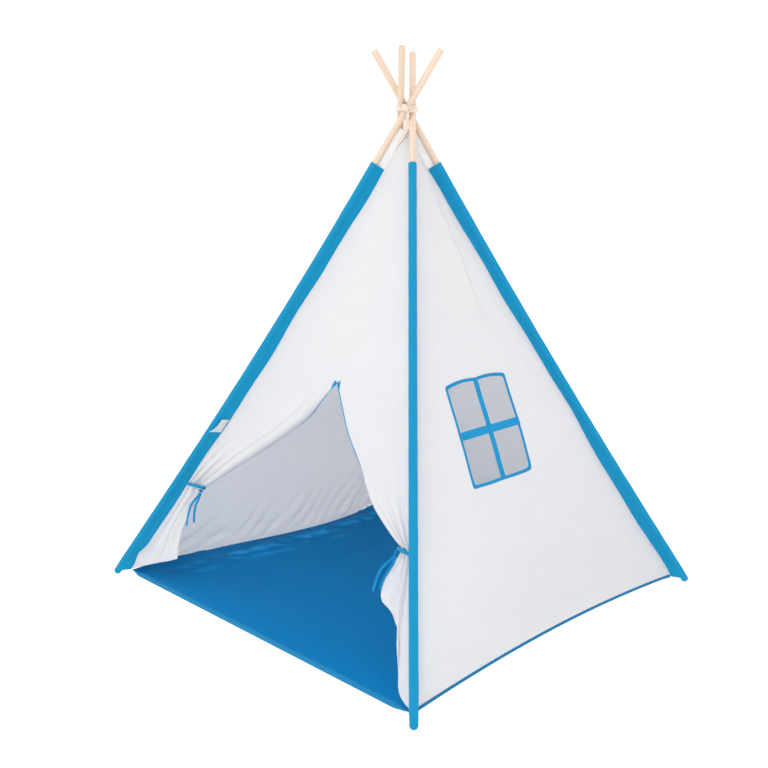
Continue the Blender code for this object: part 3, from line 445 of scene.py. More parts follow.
def section(width, thickness, sides=20, squareness=4.0):
    """A rounded rectangle: a superellipse with the given power."""
    return np.stack([np.sign(wave) * np.abs(wave) ** (2 / squareness) * size / 2
                     for wave, size in ((np.cos(full_turn(sides, 0.5)), width),
                                        (np.sin(full_turn(sides, 0.5)), thickness))], -1)


def swept(name, path, side_way, profile, material, closed=False, taper=1.0):
    """A profile carried along a path: its width lies along side_way made square to the path,
    and its thickness along the cross product of the two."""
    along = unit(np.roll(path, -1, 0) - np.roll(path, 1, 0) if closed
                 else np.gradient(path, axis=0))
    side = unit(side_way - (side_way * along).sum(-1, keepdims=True) * along)
    wide = np.broadcast_to(taper, len(path))[:, None, None] * side[:, None]
    rings = path[:, None] + profile[:, :1] * wide + profile[:, 1:] * np.cross(along, side)[:, None]
    flat = together(profile[:, 0], run_lengths(path)[:, None])
    return ringed(name, rings, material, closed, flat)


def curve_through(points, spacing):
    """Catmull-Rom curve: between b and c it is half of 2b + (c-a)t + (2a-5b+4c-d)t^2 +
    (3b-a-3c+d)t^3. Its points are then set evenly, one spacing apart."""
    p = np.asarray(points, float)
    p = np.concatenate([[2 * p[0] - p[1]], p, [2 * p[-1] - p[-2]]])
    t = (np.arange(20) / 20)[None, :, None]
    a, b, c, d = (p[i:len(p) - 3 + i, None] for i in range(4))
    dense = 0.5 * (2 * b + (c - a) * t + (2 * a - 5 * b + 4 * c - d) * t ** 2
                   + (3 * b - a - 3 * c + d) * t ** 3)
    dense = np.concatenate([dense.reshape(-1, p.shape[1]), p[-2:-1]])
    length = run_lengths(dense)
    marks = np.linspace(0.0, length[-1], max(4, round(length[-1] / spacing)) + 1)
    return np.stack([np.interp(marks, length, column) for column in dense.T], -1), length[-1]

# %% [markdown]
# ## Colours and nodes
# A picture gives colours as sRGB hex values, and a shader wants linear light, so one function
# turns the one into the other. Another adds a node with its settings and links.

# %% Colours and nodes
def paint(hex_value):
    """sRGB hex to linear: c / 12.92 below 0.04045, else ((c + 0.055) / 1.055) ^ 2.4."""
    values = [int(hex_value[i:i + 2], 16) / 255 for i in (1, 3, 5)]
    return (*[c / 12.92 if c <= 0.04045 else ((c + 0.055) / 1.055) ** 2.4 for c in values], 1.0)


def fill(node, inputs):
    """Sets a node's inputs: a value is written, and a socket of another node is linked."""
    for key, value in inputs.items():
        if isinstance(value, bpy.types.NodeSocket):
            node.id_data.links.new(value, node.inputs[key])
        else:
            node.inputs[key].default_value = value


def add(tree, kind, inputs=None, **settings):
    """A new node: settings are its properties, inputs are values or sockets to link."""
    node = tree.nodes.new(kind)
    for key, value in settings.items():
        setattr(node, key, value)
    fill(node, inputs or {})
    return node


def new_material(name):
    """An empty node material: its tree, its Principled shader and its output."""
    material = bpy.data.materials.new(name)
    material.use_nodes = True
    tree = material.node_tree
    return material, tree, tree.nodes["Principled BSDF"], tree.nodes["Material Output"]


def wave_scale(spacing):
    """A Wave texture's bands repeat every 2 pi / 20 of its scaled coordinate."""
    return 2 * math.pi / (20 * spacing)

# %% [markdown]
# ## Woven cloth
# The cover is a plain-woven polyester and cotton cloth. Seen close, threads cross at right
# angles. Seen from a few steps away only the soft unevenness of the cloth remains, and light
# that falls on its other side comes through it faintly. The real threads are about 0.4 mm
# apart, which is too fine to show, so the weave is drawn 1.2 mm coarse.

# %% Woven cloth
def woven(name, hex_value, hex_worn_and_crease_shade, thread=1.2 * MM, crease=1.0 * MM, through=0.0,
          roughness=0.85, sheen=0.05, gloss=0.15, hex_crease_shade=None, hex_shine=None):
    """Plain weave: two crossed band waves. Clouds of noise shade it and crease it slightly."""
    material, tree, shader, output = new_material(name)
    place = add(tree, "ShaderNodeUVMap", uv_map="flat").outputs["UV"]
    warp, weft = (add(tree, "ShaderNodeTexWave", {"Vector": place, "Scale": wave_scale(thread)},
                      bands_direction=way).outputs["Fac"] for way in "XY")
    threads = add(tree, "ShaderNodeMath", {0: warp, 1: weft}, operation="MAXIMUM").outputs[0]
    # Uneven dyeing and slack show as clouds a few centimetres wide.
    clouds, slack = (add(tree, "ShaderNodeTexNoise", {
        "Vector": place, "Scale": 1 / size, "Detail": detail, "Distortion": bent}).outputs["Fac"]
        for size, detail, bent in ((45 * MM, 3.0, 0.0), (130 * MM, 2.0, 0.6)))
    tone = add(tree, "ShaderNodeMath", {0: clouds, 1: threads}, operation="MULTIPLY").outputs[0]
    colour = add(tree, "ShaderNodeMix", {"Factor": tone, "A": paint(hex_worn_and_crease_shade),
                                         "B": paint(hex_value)},
                 data_type="RGBA").outputs["Result"]
    # Painted shade: in a crease the colour is mixed towards a darker one, the worn tone where none
    # is given, for the light that cloth lying double in a crease lets through less.
    # Painted highlight: where the taffeta's wrinkles face the door and the light, it is mixed
    # towards a lighter one.
    for kept, hex_there in (("crease", hex_crease_shade or hex_worn_and_crease_shade), ("shine", hex_shine)):
        if hex_there:
            depth = add(tree, "ShaderNodeAttribute", attribute_name=kept).outputs["Fac"]
            colour = add(tree, "ShaderNodeMix", {"Factor": depth, "A": colour,
                                                 "B": paint(hex_there)},
                         data_type="RGBA").outputs["Result"]
    relief = add(tree, "ShaderNodeBump", {"Height": slack, "Distance": crease,
                                          "Strength": 0.7}).outputs["Normal"]
    for height, distance, strength in ((clouds, crease / 3, 0.6), (threads, thread / 8, 0.35)):
        relief = add(tree, "ShaderNodeBump", {"Height": height, "Distance": distance,
                                              "Strength": strength,
                                              "Normal": relief}).outputs["Normal"]
    fill(shader, {"Base Color": colour, "Roughness": roughness, "Sheen Weight": sheen,
                  "Specular IOR Level": gloss, "Normal": relief})
    if through:
        glow = add(tree, "ShaderNodeBsdfTranslucent", {"Color": colour, "Normal": relief})
        mixed = add(tree, "ShaderNodeMixShader", {"Fac": through, 1: shader.outputs[0],
                                                  2: glow.outputs[0]})
        fill(output, {"Surface": mixed.outputs[0]})
    return material


# The crease colours of the white cloth and of the mat are painted shade, and the mat's shine
# colour is a painted highlight.
WHITE_CLOTH = woven("white_polyester_cotton", "#F9F8F8", "#F3F2F2", through=0.5,
                    hex_crease_shade="#D0D3DC")
BLUE_CLOTH = woven("blue_sleeve_cotton", "#158EBA", "#1085B1", crease=1.6 * MM)
BLUE_MAT = woven("blue_mat_taffeta", "#0079B8", "#0072AE", thread=0.8 * MM, crease=1.2 * MM,
                 roughness=0.55, sheen=0.0, gloss=0.05, hex_crease_shade="#005F9C",
                 hex_shine="#2E9CDC")
print("cloth materials:", WHITE_CLOTH.name, BLUE_CLOTH.name, BLUE_MAT.name)

# %% [markdown]
# ## Tape
# Bindings, hems and ties are folded bias tape: the same blue cotton, with a row of stitches
# near each edge. The stitches are worked out from the flat place: a thin line at a set distance
# from the tape's middle, broken every 3 mm.

# %% Tape
RIB = 1.2 * MM
STITCH = 3 * MM
STITCH_GAP = 0.9 * MM
THREAD = 0.35 * MM


def tape(name, hex_value, hex_thread, stitch_at):
    """Ribbed tape: bands across it, and dashes where | |across| - stitch_at | is small."""
    material, tree, shader, _ = new_material(name)
    place = add(tree, "ShaderNodeUVMap", uv_map="flat").outputs["UV"]
    ribs = add(tree, "ShaderNodeTexWave", {"Vector": place, "Scale": wave_scale(RIB)},
               bands_direction="Y").outputs["Fac"]
    both = add(tree, "ShaderNodeSeparateXYZ", {0: place})
    on_line, stitch = both.outputs["X"], both.outputs["Y"]
    for operation, value in (("ABSOLUTE", 0.0), ("SUBTRACT", stitch_at), ("ABSOLUTE", 0.0),
                             ("LESS_THAN", THREAD)):
        on_line = add(tree, "ShaderNodeMath", {0: on_line, 1: value},
                      operation=operation).outputs[0]
    for operation, value in (("PINGPONG", STITCH), ("GREATER_THAN", STITCH_GAP),
                             ("MULTIPLY", on_line)):
        stitch = add(tree, "ShaderNodeMath", {0: stitch, 1: value}, operation=operation).outputs[0]
    clouds = add(tree, "ShaderNodeTexNoise", {"Vector": place, "Scale": 1 / (20 * MM)}).outputs[0]
    shade = add(tree, "ShaderNodeMapRange", {"Value": clouds, "To Min": 0.9, "To Max": 1.06})
    dyed = add(tree, "ShaderNodeMix", {"Factor": 1.0, "A": paint(hex_value),
                                       "B": shade.outputs[0]}, data_type="RGBA",
               blend_type="MULTIPLY").outputs["Result"]
    colour = add(tree, "ShaderNodeMix", {"Factor": stitch, "A": dyed, "B": paint(hex_thread)},
                 data_type="RGBA").outputs["Result"]
    height = add(tree, "ShaderNodeMath", {0: ribs, 1: stitch}, operation="ADD").outputs[0]
    relief = add(tree, "ShaderNodeBump", {"Height": height, "Distance": 0.25 * MM,
                                          "Strength": 0.5}).outputs["Normal"]
    fill(shader, {"Base Color": colour, "Roughness": 0.8, "Sheen Weight": 0.05,
                  "Specular IOR Level": 0.15, "Normal": relief})
    return material


BLUE_BINDING = tape("blue_bias_tape", "#1286BC", "#2896C8", 3.4 * MM)
BLUE_HEM = tape("blue_hem_tape", "#17709F", "#2A80AE", 3.6 * MM)
BLUE_WIDE_TAPE = tape("blue_window_tape", "#128ABF", "#2C9ACA", 8.5 * MM)
CREAM_TAPE = woven("unbleached_cotton_tape", "#E8DAD0", "#DDCBBE", thread=0.9 * MM,
                   crease=0.6 * MM, roughness=0.9)

# %% [markdown]
# ## Wood and steel
# The poles are turned softwood dowels, sanded and left bare. Their grain runs along the pole:
# pale wood with slightly darker late-wood streaks, a centimetre or less apart. Each pole keeps
# its own place in the wood, stored on its points, so the streaks follow the pole.

# %% Wood and steel
def sanded_pine():
    """Noise stretched along the pole gives streaks, and finer noise gives the pores."""
    material, tree, shader, _ = new_material("sanded_pine_dowel")
    place = add(tree, "ShaderNodeAttribute", attribute_name="grain").outputs["Vector"]
    long_way = add(tree, "ShaderNodeMapping", {"Vector": place, "Scale": (1.0, 1.0, 0.035)})
    streaks, pores = (add(tree, "ShaderNodeTexNoise", {
        "Vector": long_way.outputs[0], "Scale": 1 / size, "Detail": detail,
        "Distortion": bent}).outputs["Fac"]
        for size, detail, bent in ((5 * MM, 4.0, 0.4), (0.9 * MM, 2.0, 0.0)))
    ramp = add(tree, "ShaderNodeValToRGB", {"Fac": streaks})
    for stop, position, tint in zip(ramp.color_ramp.elements, (0.32, 0.66),
                                    ("#D2B89C", "#E0CBB8")):
        stop.position, stop.color = position, paint(tint)
    dark = add(tree, "ShaderNodeMapRange", {"Value": pores, "To Min": 0.95, "To Max": 1.02})
    colour = add(tree, "ShaderNodeMix", {"Factor": 1.0, "A": ramp.outputs[0],
                                         "B": dark.outputs[0]}, data_type="RGBA",
                 blend_type="MULTIPLY").outputs["Result"]
    relief = add(tree, "ShaderNodeBump", {"Height": pores, "Distance": 0.12 * MM,
                                          "Strength": 0.4}).outputs["Normal"]
    fill(shader, {"Base Color": colour, "Roughness": 0.55, "Normal": relief})
    return material


def plated_steel():
    """Bright zinc: a metal with fine drawing lines round the ferrule."""
    material, tree, shader, _ = new_material("zinc_plated_steel_tube")
    place = add(tree, "ShaderNodeTexCoord").outputs["Object"]
    lines = add(tree, "ShaderNodeTexNoise", {"Vector": place, "Scale": 1 / (0.8 * MM)})
    spread = add(tree, "ShaderNodeMapRange", {"Value": lines.outputs["Fac"], "To Min": 0.25,
                                              "To Max": 0.45})
    fill(shader, {"Base Color": paint("#C9CBC8"), "Metallic": 1.0,
                  "Roughness": spread.outputs[0]})
    return material


PINE = sanded_pine()
STEEL = plated_steel()

# %% [markdown]
# ## Riding on the frame
# Every piece rides on one of the solid bodies, replaces a solid and names what it is made of.
# Each wall is made in two halves that meet on a line, and a half rides on its own pole.


def stands_for(obj, body, node):
    """Rides on a body, in place of one of its solids."""
    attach(obj, body)
    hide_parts(node)


def gather_with(obj, corner, wall, node):
    """Rides on a pole, in place of a solid, and gets a mesh of its own."""
    feet = seam_points(wall, 0.0)
    stands_for(obj, f"{corner}_pole", node)
    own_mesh(obj)

# %% [markdown]
# ## The door's drawn curtains
# The front wall is slit below its apex, and each half is drawn aside to a tie at its seam. The
# edge of each half rolls inwards more and more on its way down, so the blue binding shows near
# the apex and disappears under the roll. Close to the tie the cloth gathers into deep folds.

# %% Door sizes
DOOR_APEX = 678 * MM
DOOR_SHIFT = 22 * MM
DOORS = {
    "left": {"sign": -1, "tie": 297 * MM, "bundle": 62 * MM, "binding": 6 * MM, "pleats": 0.85,
             "roll_start": -0.10, "roll_share": 0.65, "roll_length": 60 * MM, "valley": 5 * MM},
    "right": {"sign": 1, "tie": 325 * MM, "bundle": 48 * MM, "binding": 13 * MM, "pleats": 0.55,
              "roll_start": 0.33, "roll_share": 0.50, "roll_length": 40 * MM, "valley": 1 * MM},
}
# Places across from the door wall's middle and up its slope, in millimetres. The edge runs
# from apex to tie, the free edge from tie to corner, and the lower edge from foot to corner.
DOOR_LINES = {
    "left": {"edge": [(-77, 559), (-144, 495), (-222, 428), (-274, 388), (-330, 345)],
             "free": [(-384, 270), (-394, 232), (-402, 174), (-395, 120), (-381, 84)],
             "low": [(-494, 32), (-431, 57), (-381, 84)]},
    "right": {"edge": [(106, 570), (170, 505), (232, 434), (274, 394), (342, 350)],
              "free": [(390, 300), (386, 278), (382, 247), (385, 213), (397, 197)],
              "low": [(543, 12), (512, 41), (482, 123), (453, 163), (432, 184), (397, 197)]},
}
SET_IN = 15 * MM
FOLD_DEPTH = 8 * MM
STRAIGHT = (0.0, 0.0)
# Painted shade in the door cloth's creases is kept weak: little light comes through it from the
# dark inside, so its creases stay light.
DOOR_CREASE_SHADE = 0.45


def pleats(share, strength):
    """Folds of gathered cloth: three even waves and eight finer ones, dying out at the edges."""
    share = np.clip(share, 0.0, 1.0)
    edge = np.sqrt(np.sin(math.pi * share))
    even = np.sin(6 * math.pi * share)
    return FOLD_DEPTH * strength * edge * (even + 0.22 * np.sin(17 * math.pi * share + 0.6))


def seam_across(side, up):
    """Distance from the door's middle line to one half's seam."""
    return DOORS[side]["sign"] * wall_width("door", up) / 2


def tie_end(side):
    """Across and up of the gathered cloth's free end at the tie."""
    door = DOORS[side]
    return seam_across(side, door["tie"]) - door["sign"] * door["bundle"], door["tie"]


def door_line(side, kind, first, share):
    """Across and up at a share of one of the door's lines, which starts at a first point."""
    points = [first, *(np.array(DOOR_LINES[side][kind]) * MM)]
    if kind == "edge":
        points.append(tie_end(side))
    line = curve_through(np.array(points), 2 * MM)[0]
    return tuple(np.interp(share, shares(len(line)), part) for part in line.T)


def drawn_edge(side, share):
    """Across and up of the opening's edge from its apex (0) to the tie (1), and its depth."""
    across, up = door_line(side, "edge", (DOOR_SHIFT, DOOR_APEX), share)
    return across, up, -SET_IN * smooth(2 * share - 1)


def roll(side, share, length):
    """The edge's inward roll: an arc whose turn grows down the edge. length runs from 0 where
    the roll begins to 1 at the cloth's cut edge. Gives across, up and out of a point."""
    door = DOORS[side]
    grown = smooth((share - door["roll_start"]) / door["roll_share"])
    turn = 0.04 + math.radians(225) * grown
    rolled = door["roll_length"] * grown * (1 - 0.5 * smooth((share - 0.6) / 0.4))
    curve = turn / (door["binding"] + rolled)
    push = (np.sin(turn * length) - np.where(turn > math.pi / 2, 1.0, np.sin(turn))) / curve
    across, up, out = drawn_edge(side, share)
    ahead, ahead_up, _ = drawn_edge(side, np.minimum(share + 0.02, 1.0))
    behind, behind_up, _ = drawn_edge(side, np.maximum(share - 0.02, 0.0))
    push = door["sign"] * push / np.hypot(ahead - behind, ahead_up - behind_up)
    return (across + (ahead_up - behind_up) * push, up - (ahead - behind) * push,
            out - (1 - np.cos(turn * length)) / curve)


def cloth_relief(across, up, seed):
    """Slack in stretched cloth: long low waves and a few shorter ones, out of the wall."""
    return (1.6 * MM * ripples(across, up, 260 * MM, seed)
            + 0.5 * MM * ripples(across, up, 80 * MM, seed + 1))


def drape_point(side, share, part):
    """Between the seam (part 0) and the start of the roll (part 1), with its folds and a
    valley beside the roll."""
    door = DOORS[side]
    seam_up = DOOR_APEX + (door["tie"] - DOOR_APEX) * share
    seam = seam_across(side, seam_up)
    across, up, out = roll(side, share, 0.0)
    x, height = seam + (across - seam) * part, seam_up + (up - seam_up) * part
    gathered = door["pleats"] * pleats(part, smooth((share - 0.45) / 0.55) ** 1.5)
    valley = -door["valley"] * bump_at((1 - part) * np.abs(across - seam), 14 * MM, 7 * MM)
    valley = valley * smooth(share * 4) * (1 - 0.6 * share)
    return x, height, out * smooth(part) + gathered + valley + cloth_relief(x, height, 11)


def drawn_beside(side, part):
    """A drape follows its own pole's bend at its seam (part 0), and less towards its edge."""
    near = np.maximum(1 - part, 0.0) ** 1.5
    return (near, 0.0) if side == "left" else (0.0, near)

# %% [markdown]
# ### Cords first
# The free ends of the two door ties hang from their knots. They are flat tape, 6.5 mm wide, cut
# off bare. Their routes are the same points as in the solids: right, up and out of the door
# wall, in millimetres, from the place where each leaves its knot.

# %% Door tie ends
TIE_WIDTH = 9 * MM
TIE_THICKNESS = 1.2 * MM
KNOT_RADIUS = 6.5 * MM
KNOT_REACH = KNOT_RADIUS * 0.9 + 0.3 * MM
END_WIDTH = 6.5 * MM
END_THICKNESS = 1.5 * MM
TIE_DEPTH = FOLD_DEPTH * 1.3 + CLOTH
DOOR_UP = unit(placed("door", 0.0, DOORS["left"]["tie"]) - placed("door", 0.0, 0.0))
TIE_END_ROUTES = {
    ("left", "outer"): [(-2.9, 0, 0), (-3.2, -6, 0.3), (-7, -20, 4), (-12, -40, 8),
                        (-10, -66, 9), (-3, -100, 8)],
    ("left", "inner"): [(2.9, 0, 0), (3.2, -6, 0.3), (6, -20, 4), (9, -40, 8),
                        (16, -60, 9), (25, -82, 8)],
    ("right", "outer"): [(-2.9, 0, 0), (-3.4, -6, 0.3), (-10, -20, 5), (-19, -40, 11),
                         (-23, -64, 12), (-23, -98, 12)],
    ("right", "inner"): [(2.9, 0, 0), (3.2, -6, 0.3), (6, -20, 6), (5, -40, 13),
                         (1, -60, 15), (-1, -86, 15)],
}


def tie_frame(side):
    """Middle of the gathered cloth at the tie, and unit vectors along it, up and out."""
    tie, bundle = DOORS[side]["tie"], DOORS[side]["bundle"]
    edge, free = seam_across(side, tie), tie_end(side)[0]
    along = unit(placed("door", free, tie, -SET_IN, STRAIGHT)
                 - placed("door", edge, tie, 0.0, STRAIGHT))
    up = unit(placed("door", 0.0, tie + bundle) - placed("door", 0.0, tie))
    out = unit(np.cross(up, along))
    return (placed("door", (edge + free) / 2, tie, -SET_IN / 2, STRAIGHT), along, up,
            -out if out[1] > 0 else out)


def knot_middle(side):
    """At the free end of the gathered cloth, just under the tape."""
    middle, along, up, out = tie_frame(side)
    round_way = TIE_DEPTH * math.sqrt(0.5)
    return (middle + along * (DOORS[side]["bundle"] / 2 + round_way) + out * round_way
            - up * (TIE_WIDTH / 2 + KNOT_REACH))


for (side, which), route in TIE_END_ROUTES.items():
    points = np.array(route) * MM @ np.array([[1.0, 0.0, 0.0], DOOR_UP, NORMAL["door"]])
    path, length = curve_through(knot_middle(side) - DOOR_UP * KNOT_REACH + points, 3 * MM)
    twist = shares(len(path))[:, None] * (0.5 if which == "outer" else -0.4)
    across_tape = np.cos(twist) * right_way + np.sin(twist) * back
    end = swept(f"{side}_tie_end_{which}", path, across_tape,
                section(END_WIDTH, END_THICKNESS, 16, 3.0), BLUE_BINDING)
    stands_for(end, f"front_{side}_pole", f"{side}_door_tie_end_{which}")
    print(end.name, "is", round(float(length), 3), "m long")

# %% [markdown]
# ### Door ties and their knots
# A tie is a tape that leaves the seam, runs round the gathered cloth and comes back inside. Its
# knot is a real overhand knot: a trefoil curve, (sin t + 2 sin 2t, cos t - 2 cos 2t, -sin 3t),
# carried by a flat section and pressed together.

# %% Door ties and knots
def knotted(name, middle, right_to, up_to, radius, strand, material):
    """A closed trefoil of flat strand, placed by two directions of its own. Its depth is 1.3
    times that of the formula, for its size."""
    out_to = np.cross(right_to, up_to)
    t = full_turn(150)
    trefoil = np.stack([np.sin(t) + 2 * np.sin(2 * t), np.cos(t) - 2 * np.cos(2 * t),
                        -1.3 * np.sin(3 * t)], -1) * radius / 3
    return swept(name, middle + trefoil @ np.stack([right_to, up_to, out_to]), out_to,
                 section(strand, strand * 0.62, 14, 2.6), material, closed=True)


for side, door in DOORS.items():
    middle, along, up, out = tie_frame(side)
    half = door["bundle"] / 2
    start = -half + SEAM_ALLOWANCE
    turn = np.linspace(math.pi / 2, -math.pi / 2, 40)
    forth = np.linspace(start, half, 30)[:-1]
    level = np.ones(len(forth))
    x = np.concatenate([forth, half + TIE_DEPTH * np.cos(turn), forth[::-1]])
    y = TIE_DEPTH * np.concatenate([level, np.sin(turn), -level])
    y = y * (0.6 + 0.4 * smooth((x - start) / half)) + 0.5 * MM * np.sin(x / (3.1 * MM))
    seam_pull = bend(f"front_{side}", CORNER_RISE + door["tie"] * RISE_BY_SLOPE["door"])
    seam_pull = seam_pull * np.clip((half - x) / (2 * half), 0.0, 1.0)
    path = (middle + x[:, None] * along + y[:, None] * out
            + seam_pull[:, None] * pole_frame(f"front_{side}")[1])
    band = swept(f"{side}_tie_band", path, up, section(TIE_WIDTH, TIE_THICKNESS * 1.4, 20, 3.5),
                 BLUE_BINDING)
    stands_for(band, f"front_{side}_pole", f"{side}_door_tie")
    knot = knotted(f"{side}_tie_knot", knot_middle(side), along, up, KNOT_RADIUS * 0.78,
                   4.6 * MM, BLUE_BINDING)
    stands_for(knot, f"front_{side}_pole", f"{side}_door_tie_knot")
    print(band.name, "and", knot.name, "at", knot_middle(side).round(3))

# %% [markdown]
# ### The front wall and its drapes
# Each half is one grid. Its upper rows are plain wall from the top down to the apex. Its lower
# rows run from the seam to the drawn edge and on round the roll, and end in the tie.

# %% Front wall
def half_of_door(side):
    """Rows of the plain wall, then rows of the drape; the roll's columns widen from nothing."""
    binding, roll_length = DOORS[side]["binding"], DOORS[side]["roll_length"]
    part, length = shares(85)[None], shares(27)[None, 1:]
    lowered = shares(71)[:-1, None]
    up = WALL_TOP["door"] + (DOOR_APEX - WALL_TOP["door"]) * lowered
    seam = seam_across(side, up)
    middle = DOOR_SHIFT * lowered * wall_width("door", up) / wall_width("door", DOOR_APEX)
    flat_part = np.concatenate([part * 0.985, 0.985 + 0.015 * length], 1)
    across = seam + (middle - seam) * flat_part
    own, wide = drawn_beside(side, flat_part), np.maximum(1 - flat_part, 0.0) ** 2
    lowering = smooth(lowered * 4 - 3)
    beside = [near * lowering + wide * (1 - lowering) * (side == pole)
              for near, pole in zip(own, DOORS)]
    top = placed("door", across, up, cloth_relief(across, up, 11), beside)
    share = shares(121)[:, None]
    drape = placed("door", *drape_point(side, share, part), drawn_beside(side, part))
    cut_off = binding * 0.9 / (binding + roll_length)
    across, up, out = roll(side, share, length * (1 - cut_off))
    rolled = placed("door", across, up, out + cloth_relief(across, up, 11), STRAIGHT)
    return np.concatenate([top, np.concatenate([drape, rolled], 1)])


for side, door in DOORS.items():
    grid = half_of_door(side)
    half = cloth(f"door_wall_{side}", grid, WHITE_CLOTH, crease_shade=DOOR_CREASE_SHADE)
    gather_with(half, f"front_{side}", "door", "door_panel")
    share = np.linspace(0.0, 0.6, 60)[:, None]
    bound = door["binding"] / (door["binding"] + door["roll_length"])
    length = np.linspace(1 - bound, 1.0, 7)[None]
    near = smooth(share / 0.05)
    strip = placed("door", *roll(side, share, length * near + shares(7) * (1 - near)), STRAIGHT)
    binding = cloth(f"door_binding_{side}", strip, BLUE_BINDING, thickness=2.2 * MM)
    gather_with(binding, f"front_{side}", "door", f"{side}_door_binding")
    print(half.name, "has", len(half.data.vertices), "points")

# %% [markdown]
# ### Curtains under the ties
# Below its tie each curtain hangs free, from the tie and the seam down to the floor. It keeps
# the tie's folds, which open towards the bottom, and ends in a slanting lower edge.

# %% Curtains
def curtain_point(side, part, down):
    """Across, up and out: part runs from the seam to the free edge, down from tie to floor. In
    the wall it is a Coons patch between seam, tie, free edge and lower edge. Out of the wall it
    has the tie's folds, which die out, and long soft folds that grow below them."""
    top = DOORS[side]["tie"] - 0.3 * MM
    seam_up = top * (1 - down) + CLOTH * down
    seam = seam_across(side, seam_up), seam_up
    start, end = (seam_across(side, top), top), (tie_end(side)[0], top)
    foot = seam_across(side, CLOTH), CLOTH
    free = door_line(side, "free", end, down)
    low = door_line(side, "low", foot, part)
    corner = door_line(side, "low", foot, 1.0)
    place = []
    for k in (0, 1):
        straight = (start[k] * (1 - part) + end[k] * part) * (1 - down)
        between = straight + (foot[k] * (1 - part) + corner[k] * part) * down
        place.append(seam[k] * (1 - part) + free[k] * part + straight + low[k] * down - between)
    across, up = place
    folds = DOORS[side]["pleats"] * pleats(part, 1 - smooth(down * 1.5))
    if side == "left":
        ridge = 7 * MM * bump_at(part, 0.70, 0.07) + 3 * MM * bump_at(part, 0.35, 0.12)
        folds = folds + ridge * smooth(down * 3) * (1 - 0.5 * smooth(down * 3 - 2))
    else:
        waves = np.sin(5 * math.pi * part) * np.sin(math.pi * np.clip(part, 0.0, 1.0))
        folds = folds + 3 * MM * waves * smooth(down * 3)
    depth = -SET_IN * (1 - smooth(down * 1.6)) * smooth(part)
    out = depth + folds + 2 * MM * down * ripples(across, up, 110 * MM, 23)
    return across, np.maximum(up, CLOTH), out


for side in DOORS:
    part, down = shares(91)[None], shares(101)[:, None]
    grid = placed("door", *curtain_point(side, part, down), drawn_beside(side, part))
    curtain = cloth(f"door_curtain_{side}", grid, WHITE_CLOTH, crease_shade=DOOR_CREASE_SHADE)
    gather_with(curtain, f"front_{side}", "door", f"{side}_door_curtain")

# %% [markdown]
# ## The window
# The right wall has a window: an opening bound with tape, an upright tape in it, and a cross
# tape sewn over both. Its top and bottom edges bulge a little in each half.

# %% Window sizes and outline
WINDOW_WIDTH = 246 * MM
WINDOW_HEIGHT = 268 * MM
WINDOW_SILL = 426 * MM
WINDOW_SHIFT = -36 * MM
SCALLOP = 7 * MM
WINDOW_BINDING = 10 * MM
SPLIT = 200 * MM


def window_edge(share, side, inset=0.0):
    """Across and up of the window's top (+1) or bottom (-1) edge."""
    share = np.asarray(share, float)
    across = WINDOW_SHIFT + (share - 0.5) * (WINDOW_WIDTH - 2 * inset)
    bulge = SCALLOP * (0.6 * np.abs(np.sin(2 * math.pi * share)) + 0.7 * np.sin(math.pi * share))
    bulge = bulge if side > 0 else bulge * 0.25
    return across, WINDOW_SILL + WINDOW_HEIGHT / 2 + side * (WINDOW_HEIGHT / 2 + bulge - inset)


def wall_split(up):
    """Where the right wall's two halves meet: beside the window, then to the top's middle."""
    return SPLIT * (1 - up / WALL_TOP["window"])


def window_grid(left=56, middle=48, right=16, low=64, upright=40, high=96):
    """Rows and columns that run along the window's edges, so the hole is whole squares."""
    j = np.arange(left + middle + right + 1)[None]
    i = np.arange(low + upright + high + 1)[:, None]
    share = np.clip((j - left) / middle, 0.0, 1.0)
    edge, sill = window_edge(share, -1)
    head = window_edge(share, 1)[1]
    foot = HEM_HEIGHT / 2 + HEM_ARCH * 0.8
    raised = np.clip((i - low - upright) / high, 0.0, 1.0)
    up = np.where(i <= low, foot + (sill - foot) * i / low,
                  np.where(i <= low + upright, sill + (head - sill) * (i - low) / upright,
                           head + (WALL_TOP["window"] - head) * raised))
    half, split = wall_width("window", up) / 2, wall_split(up)
    inner = edge * (1 - raised) + (-half + (split + half) * j / j.max()) * raised
    across = np.where(j < left, inner + (j / left - 1.0) * (inner + half),
                      inner + np.clip((j - left - middle) / right, 0.0, 1.0) * (split - inner))
    bottom = hem_rise("window", 0.5 + across / wall_width("window", 0.0))
    up = up + (bottom - foot) * np.clip(1 - i / low, 0.0, 1.0)
    hole = (i[:-1] >= low) & (i[:-1] < low + upright) & (j[:, :-1] >= left) & (
        j[:, :-1] < left + middle)
    return across, up, ~hole


def window_relief(across, up):
    """Slack, two soft slanting folds above the window and a crease under its corner. Beside
    the seam the cloth puckers, with a long fold, and small folds fan out above the hem."""
    slant = across * 0.8 + up * 0.6
    folds = 2.2 * MM * np.sin(slant / (24 * MM)) * bump_at(up, 800 * MM, 90 * MM) * bump_at(
        across, -60 * MM, 120 * MM)
    crease = 1.6 * MM * bump_at(across, -150 * MM, 7 * MM) * bump_at(up, 380 * MM, 45 * MM)
    from_seam = across + wall_width("window", up) / 2
    above = above_hem("window", across, up)
    puckers = 0.9 * MM * np.sin(up / (13 * MM)) * bump_at(from_seam, 0.0, 45 * MM)
    seam_fold = 1.2 * MM * bump_at(from_seam, 26 * MM + 6 * MM * np.sin(up / (90 * MM)), 12 * MM)
    fan = 2.0 * MM * np.sin((from_seam + 0.5 * above) / (9 * MM)) * bump_at(
        from_seam, 70 * MM, 60 * MM) * bump_at(above, 45 * MM, 40 * MM)
    relief = cloth_relief(across, up, 31) + folds + crease + puckers + seam_fold + fan
    return relief * smooth(above / HEM_CALM)


